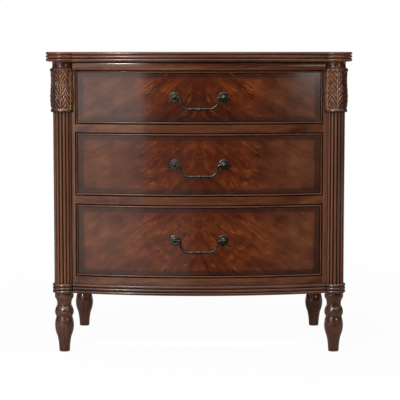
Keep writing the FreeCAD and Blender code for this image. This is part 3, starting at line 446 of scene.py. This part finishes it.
def toned(tree, field, patches, aside, level, half_tall, half_wide):
    """The field with toner round its edges and painted shade in the quirk."""
    off_level = add(tree, "Math", {0: level}, operation="ABSOLUTE")
    to_edge = add(tree, "Math", {0: off_level, 1: half_tall}, operation="SUBTRACT")
    to_end = add(tree, "Math", {0: aside, 1: half_wide}, operation="SUBTRACT")
    end_share = add(tree, "Math", {0: to_end, 1: TONED_TALL / TONED_WIDE}, operation="MULTIPLY")
    to_border = add(tree, "Math", {0: to_edge, 1: end_share}, operation="MAXIMUM")
    centred = add(tree, "Math", {0: to_border, 1: -SPRAY_WAVER / 2}, operation="ADD")
    sprayed = add(tree, "Math", {0: patches, 1: SPRAY_WAVER, 2: centred}, operation="MULTIPLY_ADD")
    toner = add(tree, "MapRange", {"Value": sprayed, "From Min": -TONED_TALL - SPRAY_INNER,
                                   "From Max": -TONED_TALL + SPRAY_OUTER, "To Max": 0.7},
                interpolation_type="SMOOTHSTEP")
    shaded = add(tree, "Mix", {0: toner, 6: field, 7: to_linear("#2a1a15")}, data_type="RGBA")
    nearest = add(tree, "Math", {0: to_edge, 1: to_end}, operation="MAXIMUM")
    # painted shade: the quirk is painted nearly black, as the shade in that groove
    quirk_painted_shade = add(tree, "MapRange", {"Value": nearest, "From Min": QUIRK_SHADE_START, "From Max": QUIRK_SHADE_FULL})
    return add(tree, "Mix", {0: quirk_painted_shade, 6: shaded.outputs[2], 7: to_linear("#120703")},
               data_type="RGBA").outputs[2]


print("toner reaches", round(TONED_TALL / MM), "mm in, and", round(TONED_WIDE / MM), "mm at the ends")

# %% [markdown]
# ## Flame veneer: the drawer fronts
#
# The layers come together on each front, with a seed that gives every drawer its own pair of sheets. The
# upper fronts are stained a little darker in the middle than the lowest. Veneer is a thin skin on the
# bowed face. Behind it the front is plain mahogany, which shows when a drawer is open, so the finish
# measures how far a point lies from the axis of the bow.

# %% Veneered fronts
BOW_RADIUS, BOW_AXIS_Y = 982.38 * MM, 773.69 * MM
SKIN_DEEP = 3.2 * MM
FIGURE_DEEP = 0.2 * MM
DRAWERS = ("upper", "middle", "lower")
SHEET_SEEDS, SHADES = (1.7, 4.0, 6.3), (0.11, 0.07, 0.0)
CORE_BROWNS = ((0.35, "#4a2c1c"), (0.65, "#66432c"))


def flame_veneer(name, front, seed, shade):
    """Lacquered crotch mahogany on one drawer front: fiery feathers, calm ends, dark edges, high gloss."""
    low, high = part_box(front)
    finish, tree = new_finish(name)
    sides = add(tree, "SeparateXYZ", {"Vector": add(tree, "TexCoord").outputs["Object"]})
    aside = add(tree, "Math", {0: sides.outputs["X"]}, operation="ABSOLUTE")
    level = add(tree, "Math", {0: sides.outputs["Z"], 1: (low[2] + high[2]) / 2}, operation="SUBTRACT")
    book = add(tree, "CombineXYZ", {"X": aside, "Y": level, "Z": seed})
    patches = add(tree, "TexNoise", {"Vector": book, "Scale": 1 / PATCH_SIZE, "Detail": 2})
    fine, feathers, out = veneer_strokes(tree, book, aside, level, seed)
    figure = curled_fork(tree, book, seed, feathers)
    field = flashing(tree, stained(tree, figure, out, shade), patches, aside, fine)
    face = toned(tree, field, patches, aside, level, (high[2] - low[2]) / 2, high[0])
    plan = add(tree, "CombineXYZ", {"X": sides.outputs["X"], "Y": sides.outputs["Y"]})
    off_axis = add(tree, "VectorMath", {0: plan, 1: (0, BOW_AXIS_Y, 0)}, operation="DISTANCE")
    skin = add(tree, "Math", {0: off_axis.outputs["Value"], 1: BOW_RADIUS - SKIN_DEEP},
               operation="GREATER_THAN")
    core = add(tree, "ValToRGB", {"Fac": feathers}, CORE_BROWNS)
    colour = add(tree, "Mix", {0: skin, 6: core, 7: face}, data_type="RGBA")
    gloss = add(tree, "MapRange", {"Value": figure, "From Min": 0.5, "From Max": 1.5,
                                   "To Min": 0.2, "To Max": 0.15})
    bump = add(tree, "Bump", {"Height": feathers, "Strength": 0.05, "Distance": FIGURE_DEEP})
    shader = add(tree, "BsdfPrincipled", {"Base Color": colour.outputs[2], "Roughness": gloss, "Normal": bump,
                                          "IOR": LACQUER_IOR, "Coat Weight": 0.25,
                                          "Coat Roughness": COAT_ROUGHNESS})
    add(tree, "OutputMaterial", {"Surface": shader})
    return finish


veneers = {drawer: flame_veneer(f"crotch_mahogany_{drawer}", f"{drawer}_drawer_front", seed, shade)
           for drawer, seed, shade in zip(DRAWERS, SHEET_SEEDS, SHADES)}
print("veneers:", [v.name for v in veneers.values()])

# %% [markdown]
# ## Dark bronze and steel
#
# The pulls are cast bronze, darkened in a bath and rubbed back, so hollows are nearly black with a green
# cast. High spots are polished by hands and show paler metal, and the same two kinds of occlusion find
# both. Screws and bolts are plain zinc-plated steel. One recipe serves all of them, because all are metal
# with a cloudy skin.

# %% Metals
PATINA_SIZE, PATINA_DEEP = 5 * MM, 0.3 * MM
TARNISH_REACH = 5 * MM


def aged_metal(name, tarnish, dull, bright, wear_and_painted_light, bare, roughness):
    """Cast metal with a cloudy patina, tarnished hollows and paler edges."""
    finish, tree = new_finish(name)
    spot = add(tree, "TexCoord").outputs["Object"]
    clouds = add(tree, "TexNoise", {"Vector": spot, "Scale": 1 / PATINA_SIZE, "Detail": 5, "Roughness": 0.65})
    patina = add(tree, "ValToRGB", {"Fac": clouds}, ((0.35, dull), (0.7, bright)))
    hollow = add(tree, "AmbientOcclusion", {"Distance": TARNISH_REACH}, samples=8)
    in_hollow = add(tree, "MapRange", {"Value": hollow.outputs["AO"], "From Min": 0.3, "From Max": 0.9,
                                       "To Min": 1, "To Max": 0})
    dark = add(tree, "Mix", {0: in_hollow, 6: patina, 7: to_linear(tarnish)}, data_type="RGBA")
    edge = add(tree, "AmbientOcclusion", {"Distance": EDGE_REACH}, samples=6, only_local=True, inside=True)
    on_edge = add(tree, "MapRange", {"Value": edge.outputs["AO"], "From Min": 0.3, "From Max": 0.9,
                                     "To Min": bare, "To Max": 0})
    colour = add(tree, "Mix", {0: on_edge, 6: dark.outputs[2], 7: to_linear(wear_and_painted_light)}, data_type="RGBA")
    gloss = add(tree, "MapRange", {"Value": clouds, "To Min": roughness * 1.3, "To Max": roughness * 0.7})
    bump = add(tree, "Bump", {"Height": clouds, "Strength": 0.15, "Distance": PATINA_DEEP})
    shader = add(tree, "BsdfPrincipled", {"Base Color": colour.outputs[2], "Metallic": 1, "Roughness": gloss,
                                          "Normal": bump})
    add(tree, "OutputMaterial", {"Surface": shader})
    return finish


# oil-rubbed bronze on the posts: nearly black, with pale rims on the rosettes
dark_bronze = aged_metal("oil_rubbed_bronze", "#0a0b09", "#2c302a", "#585b50", "#b5af9d",
                         bare=0.85, roughness=0.26)
# bronze that hands keep smooth, on the bails: a shade paler and shinier
handled_bronze = aged_metal("handled_bronze", "#0d0e0b", "#363a33", "#696b61", "#b3ad9b",
                            bare=0.5, roughness=0.18)
# zinc-plated steel: soft light grey
zinc_steel = aged_metal("zinc_plated_steel", "#55585a", "#7d8083", "#a3a6a8", "#c0c2c3",
                        bare=0.9, roughness=0.35)
print("metals:", dark_bronze.name, handled_bronze.name, zinc_steel.name)

# %% [markdown]
# ## Handing out the finishes
#
# Every piece keeps its CAD shape and gets a finish with the grain along its own length, as a maker would
# cut it. A table of finishes and pieces is easier to check against the real object than a line for each
# piece.

# %% Assign finishes
CASE_FINISHES = (
    (moulded_mahogany, "top_panel"),
    (frieze_mahogany, "frieze_rail"),
    (flat_mahogany["X"], "upper_divider_rail lower_divider_rail"),
    (flat_mahogany["Z"], "left_side_panel right_side_panel"),
    (post_mahogany, "left_front_post right_front_post"),
    (reeded_mahogany, "left_column right_column"),
    (base_rail_mahogany, "base_rail"),
    (base_mahogany["X"], "front_base_moulding"),
    (base_mahogany["Y"], "side_base_mouldings"),
    (turned_mahogany, "left_base_ring right_base_ring"),
    (turned_mahogany, "front_left_leg front_right_leg rear_left_leg rear_right_leg"),
    (drawer_oak["X"], "dust_frame_rear_rails drawer_stops rear_top_rail rear_base_rail bottom_panel"),
    (drawer_oak["Y"], "drawer_runners drawer_guides top_cleats"),
    (plywood["X"], "upper_dust_panel lower_dust_panel"),
    (plywood["Z"], "back_panel"),
    (zinc_steel, "leg_hanger_bolts top_screws back_screws"))
DRAWER_FINISHES = (
    (bead_mahogany, "bead"), (drawer_oak["Y"], "sides"), (drawer_oak["X"], "back"), (plywood["X"], "bottom"),
    (dark_bronze, "handle_posts handle_nuts"), (handled_bronze, "bail"))

finish_of = {name: finish for finish, names in CASE_FINISHES for name in names.split()}
for drawer in DRAWERS:
    finish_of[f"{drawer}_drawer_front"] = veneers[drawer]
    for finish, kinds in DRAWER_FINISHES:
        finish_of.update({f"{drawer}_drawer_{kind}": finish for kind in kinds.split()})
for name, finish in finish_of.items():
    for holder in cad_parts[name].material_slots:
        holder.material = finish
print("finished", len(finish_of), "pieces; still bare:", sorted(set(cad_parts) - set(finish_of)))

# %% [markdown]
# ## Carved capitals: outline and leaves
#
# Each column ends in a capital carved with seven leaves, whose veins slant down from the middle of the
# leaf. A lobed rim closes it above, and a plain ring below. Bump in the finish would leave the outline
# smooth, so the carving is real geometry. A carver first turns the outline on a lathe and then cuts the
# leaves back into it, and the mesh does the same: one table holds the outline, and two functions say how
# deep the cuts lie below it.

# %% Leaf carving
# height above the capital's foot and radius there, both in mm
CAPITAL_OUTLINE = (
    (0, 27.6), (1.2, 28.3), (2.6, 28.5), (4, 28.3), (5.2, 27.6), (6, 27.0), (14, 28.4), (24, 29.5),
    (32, 29.8), (42, 29.6), (54, 28.8), (66, 28.1), (76, 27.7), (86, 28.1), (93, 28.8), (95.5, 29.2),
    (97, 29.6), (99.2, 29.8), (101.3, 28.9), (102.6, 26.6), (103.6, 24.9), (104.5, 24.2), (108, 23.7),
    (113, 23.7), (116, 24.1), (118, 24.3))
# heights in mm: the leaves lie between the first two, the rim between the last two
LEAF_FOOT, LEAF_TIP, RIM_TOP = 6, 96, 102.6
LEAVES, LEAF_RADIUS = 7, 28.5
# from vein to vein in mm, how far a vein drops for each mm aside, and how deep it is cut in mm
VEIN_PITCH, VEIN_SLOPE, VEIN_CUT = 12, 1.6, 1.9
# how deep the rim is notched between its lobes, and the height over which a notch runs out, both in mm
RIM_LOBES, RIM_CUT, RIM_EASE = 3 * LEAVES, 1.5, 1.5


def leaf_relief(turn, height):
    """How far a leaf rises above the turned outline, in mm and mostly below zero, at an angle in degrees."""
    pitch = 360 / LEAVES
    aside = abs((turn + pitch / 2) % pitch - pitch / 2) * math.radians(1) * LEAF_RADIUS
    to_edge = math.radians(pitch / 2) * LEAF_RADIUS - aside
    leaf = round(turn / pitch) % LEAVES
    # a slow waver keeps the veins from looking stamped
    waver = 0.1 * math.sin(1.7 * leaf + 0.13 * height) + 0.06 * math.sin(0.9 * leaf + 0.31 * aside)
    slant = (height + VEIN_SLOPE * aside) / VEIN_PITCH + waver
    cut = abs(2 * (slant % 1) - 1)
    # the cuts run out towards the tip and the foot
    fade = min(1, (LEAF_TIP - height) / 4, (height - LEAF_FOOT) / 3)
    # a thin midrib, a stronger rib at the edge, and a groove beside that
    rib = 0.15 * math.exp(-(aside / 0.8) ** 2) + 0.3 * math.exp(-(to_edge / 1.1) ** 2)
    beside = 0.5 * math.exp(-((to_edge - 2.4) / 0.9) ** 2)
    return (rib - 0.3 - beside - VEIN_CUT * cut * min(1, to_edge / 2)) * fade


def rim_relief(turn, height):
    """The same for the rim, which is notched into lobes."""
    lobe = abs(math.sin(math.radians(turn * RIM_LOBES / 2)))
    return -RIM_CUT * (1 - lobe) * min(1, (height - LEAF_TIP) / RIM_EASE, (RIM_TOP - height) / RIM_EASE)


def carved_relief(turn, height):
    """The relief of the whole capital: leaves, rim, and nothing on the ring and the neck."""
    if LEAF_FOOT < height < LEAF_TIP:
        return leaf_relief(turn, height)
    if LEAF_TIP <= height < RIM_TOP:
        return rim_relief(turn, height)
    return 0


print("relief in mm across half a leaf:", [round(carved_relief(turn, 50), 1) for turn in range(0, 26, 5)])

# %% [markdown]
# ## Carved capitals: the finish
#
# The polisher wiped the glaze off the ridges and left it in the cuts, so the leaves read from across the
# room; the dark cuts also carry painted shade, and the pale ridges painted highlight. Occlusion is too
# coarse for cuts this fine. Each point of the carving keeps how deep it lies instead, and the finish turns
# that into glaze with painted shade and into paler wood with painted highlight, in uneven patches.

# %% Carved finish
CARVING_PATCH = 9 * MM
# how many mm of depth the uneven patches add or take, from end to end
DEPTH_SWING = 3


def carving_glaze_and_painted_light(tree, spot):
    """Glaze and painted shade in the deep cuts, and wood paled on the ridges by wear and painted highlight,
    by the value kept with each point.
    """
    shade_depth = add(tree, "Attribute", attribute_name="depth_and_painted_shade").outputs["Fac"]
    patches = add(tree, "TexNoise",
                  {"Vector": spot, "Scale": 1 / CARVING_PATCH, "Detail": 3, "Roughness": 0.6})
    centred = add(tree, "Math", {0: shade_depth, 1: DEPTH_SWING / 2}, operation="SUBTRACT")
    patchy_depth = add(tree, "Math", {0: patches, 1: DEPTH_SWING, 2: centred}, operation="MULTIPLY_ADD")
    # glaze and painted shade in the cuts, and paler wood with painted highlight on the ridges
    glazed_and_shaded = add(tree, "MapRange", {"Value": patchy_depth, "From Min": 0.9, "From Max": 2.4, "To Max": 0.85})
    rubbed_and_highlit = add(tree, "MapRange", {"Value": patchy_depth, "From Min": -0.2, "From Max": 0.8,
                                    "To Min": 0.65, "To Max": 0})
    return glazed_and_shaded, rubbed_and_highlit


# capitals: golden ridges, partly painted highlight, over dark cuts, partly painted shade, with a wet-looking
# lacquer that sparkles on the veins
carved_mahogany = straight_wood("carved_mahogany", "Z", ("#402011", "#5c3421", "#73462c"), GLAZE_AND_SHADE, "#b08758",
                                roughness=0.15, coat=0.4, wear_and_painted_light=carving_glaze_and_painted_light)
print("capitals:", carved_mahogany.name)

# %% [markdown]
# ## Carved capitals: rings of points
#
# A turned shape is a stack of rings, and a block is two rings that are not round. So the same small
# functions serve the capital and the block that is later cut out behind it.


# %% Rings
def outline_radius(height):
    """The radius of the turned outline at a height, both in mm, straight between the rows of its table."""
    for (below, radius), (above, next_radius) in zip(CAPITAL_OUTLINE, CAPITAL_OUTLINE[1:]):
        if height <= above:
            return radius + (next_radius - radius) * (height - below) / (above - below)
    return CAPITAL_OUTLINE[-1][1]


def close_ring(mesh, lower, upper, smooth):
    """Faces all the way round between two rings of points."""
    for step in range(len(lower)):
        after = (step + 1) % len(lower)
        mesh.faces.new((lower[step], lower[after], upper[after], upper[step])).smooth = smooth


def closed_piece(mesh, name):
    """An object from a closed mesh, with its faces turned outwards."""
    bmesh.ops.recalc_face_normals(mesh, faces=mesh.faces)
    data = bpy.data.meshes.new(name)
    mesh.to_mesh(data)
    mesh.free()
    piece = bpy.data.objects.new(name, data)
    scene.collection.objects.link(piece)
    return piece


print("the outline is", outline_radius(0), "mm at its foot and", outline_radius(32), "mm at its fullest")

# %% [markdown]
# ## Carved capitals: the mesh
#
# A fine grid is bent round the outline, and every point is moved in or out by the relief. The block is
# the corner of the case, and its face follows the bow, so that the cut capital fits round it.

# %% Turn and carve
ROUND_STEPS, RISE_STEPS = 320, 160
# degrees that turn the leaves until their midribs lie about as in the photograph
LEAF_TURN = 20
SIDE_FACE_X, CASE_BACK_Y, CORNER_TALL = 330 * MM, 225.5 * MM, 1
BOW_STEPS = 40


def carve_capital(name, side):
    """One capital: side is 1 for the right column and -1 for the left, its mirror image."""
    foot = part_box(name)[0][2]
    mesh = bmesh.new()
    rings = []
    for row in range(RISE_STEPS + 1):
        height = CAPITAL_OUTLINE[-1][0] * row / RISE_STEPS
        ring = []
        for step in range(ROUND_STEPS):
            turn = 360 * step / ROUND_STEPS
            radius = (outline_radius(height) + carved_relief(turn + LEAF_TURN, height)) * MM
            angle = math.radians(turn - 90)
            ring.append(mesh.verts.new((side * (COLUMN_X + radius * math.cos(angle)),
                                        COLUMN_Y + radius * math.sin(angle), foot + height * MM)))
        rings.append(ring)
    for lower, upper in zip(rings, rings[1:]):
        close_ring(mesh, lower, upper, smooth=True)
    mesh.faces.new(rings[0])
    mesh.faces.new(rings[-1])
    return closed_piece(mesh, f"carved_{name}")


def case_corner(side):
    """The corner of the case that a capital is notched over."""
    bowed = [SIDE_FACE_X * step / BOW_STEPS for step in range(BOW_STEPS + 1)]
    plan = [(x, BOW_AXIS_Y - math.sqrt(BOW_RADIUS ** 2 - x ** 2)) for x in bowed]
    plan += [(SIDE_FACE_X, CASE_BACK_Y), (0, CASE_BACK_Y)]
    mesh = bmesh.new()
    low, high = ([mesh.verts.new((side * x, y, level)) for x, y in plan] for level in (0, CORNER_TALL))
    mesh.faces.new(low)
    mesh.faces.new(high)
    close_ring(mesh, low, high, smooth=False)
    return closed_piece(mesh, "case_corner")


print("each capital starts from a grid of", ROUND_STEPS, "by", RISE_STEPS, "faces")

# %% [markdown]
# ## Carved capitals: notched and in place
#
# The notch is cut by a Boolean modifier, and its result becomes the capital's own mesh. Only then does
# each point get its depth, because the cut makes new points. Each new capital rides on the case and
# stands for the plainer one from the CAD program.

# %% Notch the capitals
# depths in mm that darken the parts without leaves: on the neck they are painted shadow under the top,
# on the rim they add glaze and painted shade to the notches, and the ring at the foot is darkest
NECK_SHADOW_DEPTH, RING_DEPTH, RIM_DEPTH = 1.5, 2.1, 1.1
RIM_FOOT = 94
# painted light and shade: the leaves are painted a little lighter all round, as where the lamps fall on
# the front, and darker towards the outer side, away from the lamps: by how many mm each way, and from
# which angle and over how many degrees the darkening grows
PAINTED_LIGHT_LIFT, OUTER_PAINTED_SHADE, OUTER_FROM, OUTER_OVER = 0.12, 0.8, 8, 25


def keep_depth_and_painted_shade(data, foot):
    """Store with each point of a capital how deep it lies in glaze and painted shade, in mm."""
    depths = data.attributes.new("depth_and_painted_shade", "FLOAT", "POINT")
    for number, point in enumerate(data.vertices):
        height = (point.co.z - foot) / MM
        turn = math.degrees(math.atan2(point.co.y - COLUMN_Y, abs(point.co.x) - COLUMN_X)) + 90
        outer = min(1, max(0, (turn - OUTER_FROM) / OUTER_OVER))
        # painted shade darker towards the outer side, and painted light a little lighter all round
        deep_shade = -carved_relief(turn + LEAF_TURN, height) + OUTER_PAINTED_SHADE * outer - PAINTED_LIGHT_LIFT
        if height > RIM_TOP:
            deep_shade = NECK_SHADOW_DEPTH
        elif height < LEAF_FOOT:
            deep_shade = RING_DEPTH
        elif height > RIM_FOOT:
            deep_shade += RIM_DEPTH
        depths.data[number].value = deep_shade


for name, side in (("right_capital", 1), ("left_capital", -1)):
    capital, corner = carve_capital(name, side), case_corner(side)
    notch = capital.modifiers.new("notch", "BOOLEAN")
    notch.object, notch.operation, notch.solver = corner, "DIFFERENCE", "EXACT"
    bpy.context.view_layer.update()
    notched = bpy.data.meshes.new_from_object(capital.evaluated_get(bpy.context.evaluated_depsgraph_get()))
    capital.modifiers.clear()
    capital.data = notched
    notched.materials.clear()
    notched.materials.append(carved_mahogany)
    keep_depth_and_painted_shade(notched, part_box(name)[0][2])
    bpy.data.objects.remove(corner)
    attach(capital, "case")
    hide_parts(name)
    print(capital.name, "has", len(notched.polygons), "faces")

# %% [markdown]
# ## White paper floor
#
# The piece stands on white paper that runs into a white background, with a faint shadow under it.
# Lighting real paper up to white would flood the piece with light. So the paper glows at plain white
# where the camera, a mirror or glass looks straight at it, and is plain paper for all other light. Near
# the piece a small part of it is left to real light, which keeps the shadow.

# %% Floor
FLOOR_REACH = 25
FIBRE_SIZE = 4 * MM
# metres from the middle: the shadow's share of the paper is full inside the first and gone beyond the second
SHADOW_NEAR, SHADOW_FAR = 0.6, 2.2


def flat_sheet(name, rows, finish):
    """A stage sheet through rows of points, each row a pair."""
    data = bpy.data.meshes.new(name)
    points = [point for pair in rows for point in pair]
    faces = [(2 * row, 2 * row + 1, 2 * row + 3, 2 * row + 2) for row in range(len(rows) - 1)]
    data.from_pydata(points, [], faces)
    data.materials.append(finish)
    sheet = bpy.data.objects.new(name, data)
    scene.collection.objects.link(sheet)
    return sheet


def level_rows(left, right, near, far, height):
    """Two rows of points for a level sheet."""
    return [[(left, y, height), (right, y, height)] for y in (near, far)]


def seen_straight(tree):
    """One where the camera, a mirror or glass looks straight at something, and zero for all other light."""
    path = add(tree, "LightPath")
    direct = add(tree, "Math", {0: path.outputs["Is Camera Ray"], 1: path.outputs["Is Glossy Ray"]},
                 operation="MAXIMUM")
    return add(tree, "Math", {0: direct, 1: path.outputs["Is Transmission Ray"]}, operation="MAXIMUM")


# white paper: matt and even, with the slightest cloud of fibres
floor_paper, tree = new_finish("white_paper")
spot = add(tree, "TexCoord").outputs["Object"]
fibres = add(tree, "TexNoise", {"Vector": spot, "Scale": 1 / FIBRE_SIZE, "Detail": 3})
whites = add(tree, "ValToRGB", {"Fac": fibres}, ((0, "#f4f4f4"), (1, "#fbfbfb")))
paper = add(tree, "BsdfDiffuse", {"Color": whites})
from_middle = add(tree, "VectorMath", {0: spot}, operation="LENGTH").outputs["Value"]
clear = add(tree, "MapRange", {"Value": from_middle, "From Min": SHADOW_NEAR, "From Max": SHADOW_FAR,
                               "To Min": 0.95, "To Max": 1})
share = add(tree, "Math", {0: seen_straight(tree), 1: clear}, operation="MULTIPLY")
glow = add(tree, "Emission", {"Color": to_linear("#ffffff"), "Strength": 1})
add(tree, "OutputMaterial", {"Surface": add(tree, "MixShader", {0: share, 1: paper, 2: glow})})
floor = flat_sheet("floor", level_rows(-FLOOR_REACH, FLOOR_REACH, -FLOOR_REACH, FLOOR_REACH, 0), floor_paper)
print("stage:", floor.name)

# %% [markdown]
# ## Cards that only reflections see
#
# In an all-white room polished wood looks milky, because it mirrors white from every side. A studio hangs
# black flags round the set to keep lacquer deep, and lays grey or pale cards where a softer mirror image
# is wanted. Here black walls stand all round, black card lies in front on the right, pale card in front
# on the left, and a grey strip under the piece. Only reflections see them.

# %% Cards
CARD_CLOUD = 33 * MM
CARD_LIFT = 2 * MM
WALL_AWAY, WALL_TALL, WALL_TURN = 6.5, 4.5, 15
# where the black and the pale card meet, how far cards reach, and the grey strip's near and far edge
CARD_JOIN, REACH, STRIP_NEAR, STRIP_FAR = -0.1, 9, -0.4, 1


def card(name, darker, lighter):
    """Matt card: one tone with a faint cloud in it."""
    finish, tree = new_finish(name)
    spot = add(tree, "TexCoord").outputs["Object"]
    cloud = add(tree, "TexNoise", {"Vector": spot, "Scale": 1 / CARD_CLOUD})
    tone = add(tree, "ValToRGB", {"Fac": cloud}, ((0, darker), (1, lighter)))
    add(tree, "OutputMaterial", {"Surface": add(tree, "BsdfDiffuse", {"Color": tone})})
    return finish


card_black = card("black_card", "#1c1a19", "#262322")
card_grey = card("grey_card", "#7c7a79", "#8a8886")
card_pale = card("pale_card", "#a8a6a4", "#b6b4b2")
turns = [math.radians(degrees) for degrees in range(-180, 181, WALL_TURN)]
corners = [(WALL_AWAY * math.sin(turn), -WALL_AWAY * math.cos(turn)) for turn in turns]
cards = [
    flat_sheet("dark_walls", [[(x, y, CARD_LIFT), (x, y, WALL_TALL)] for x, y in corners], card_black),
    flat_sheet("dark_ground", level_rows(CARD_JOIN, REACH, -REACH, STRIP_NEAR, CARD_LIFT), card_black),
    flat_sheet("pale_ground", level_rows(-REACH, CARD_JOIN, -REACH, STRIP_NEAR, CARD_LIFT), card_pale),
    flat_sheet("grey_ground", level_rows(-REACH, REACH, STRIP_NEAR, STRIP_FAR, CARD_LIFT), card_grey)]
for sheet in cards:
    sheet.visible_camera = sheet.visible_diffuse = False
    sheet.visible_shadow = sheet.visible_transmission = False
print("cards:", [sheet.name for sheet in cards])

# %% [markdown]
# ## The room
#
# The background is plain white where it is seen straight, and half as strong as a light. So it fills the
# shadows softly and leaves the modelling of the piece to the lamps.

# %% Room
ROOM_LIGHT, ROOM_SEEN = 0.5, 1

room = bpy.data.worlds.new("room")
room.use_nodes = True
room.node_tree.nodes.clear()
scene.world = room
strength = add(room.node_tree, "MapRange", {"Value": seen_straight(room.node_tree), "To Min": ROOM_LIGHT,
                                            "To Max": ROOM_SEEN})
white = add(room.node_tree, "Background", {"Color": to_linear("#ffffff"), "Strength": strength})
add(room.node_tree, "OutputWorld", {"Surface": white})
print("room lights with", ROOM_LIGHT, "of white")

# %% [markdown]
# ## Lamps
#
# Two large lamps overhead light the piece as a whole. Sheen on a bowed front shows where a lamp stands,
# so the lamps that it mirrors are placed by the highlights they draw. Two broad lamps at the left draw
# the sheen on the left third of the drawers, and a small one at the right answers it. That one is kept
# low, so that the top doesn't mirror it when the piece is seen from behind. Small keys draw the bright
# points on legs, pulls and carving, and lamps that nothing mirrors fill in below and at the sides.

# %% Lamps
# name, place, aim, width and height, all in metres, and watts
LAMPS = (
    ("left_lamp", (-1.197, -1.804, 0.985), (-0.327, -0.114, 0.985), (1.12, 1.13), 5.6),
    ("left_lamp_low", (-1.197, -1.804, 0.21), (-0.327, -0.114, 0.21), (1.12, 0.42), 0.6),
    ("right_lamp", (1.524, -1.957, 0.8), (0.2, -0.2, 0.8), (0.4, 0.26), 2.0),
    ("overhead_lamp", (0, -1.1, 2.6), (0, -0.1, 0.4), (2.2, 1.2), 11),
    ("high_left_lamp", (-0.75, -1.7, 2.4), (-0.1, -0.2, 0.4), (1.1, 0.5), 10),
    ("key_lamp", (-1.15, -2.3, 1.5), (0, -0.1, 0.45), (0.14, 0.14), 13),
    ("second_key_lamp", (0.8, -2.7, 1.8), (0, -0.1, 0.45), (0.16, 0.16), 1.5),
    ("carving_lamp", (-2.27, -4.6, 3.75), (0, -0.15, 0.6), (0.3, 0.3), 30),
    ("under_lamp", (0, -0.1, 0.06), (0, 0.2, 0.05), (0.5, 0.06), 0.35),
    ("left_side_lamp", (-2.4, 1.0, 0.6), (-0.3, 0.15, 0.2), (1.2, 1.0), 7),
    ("right_side_lamp", (2.4, 1.0, 0.6), (0.3, 0.15, 0.2), (1.2, 1.0), 7))
# the first only draws sheen, and the others only fill in without being mirrored
SHEEN_ONLY = ("right_lamp",)
FILL_ONLY = ("under_lamp", "left_side_lamp", "right_side_lamp")

for name, spot, aim, size, watts in LAMPS:
    light = bpy.data.lights.new(name, "AREA")
    light.shape, light.energy = "RECTANGLE", watts
    light.size, light.size_y = size
    lamp = bpy.data.objects.new(name, light)
    lamp.location = spot
    lamp.rotation_euler = (Vector(aim) - Vector(spot)).to_track_quat("-Z", "Y").to_euler()
    lamp.visible_camera = False
    lamp.visible_diffuse = name not in SHEEN_ONLY
    lamp.visible_glossy = name not in FILL_ONLY
    scene.collection.objects.link(lamp)
print("lamps:", len(LAMPS), "with", round(sum(row[-1] for row in LAMPS), 1), "watts together")
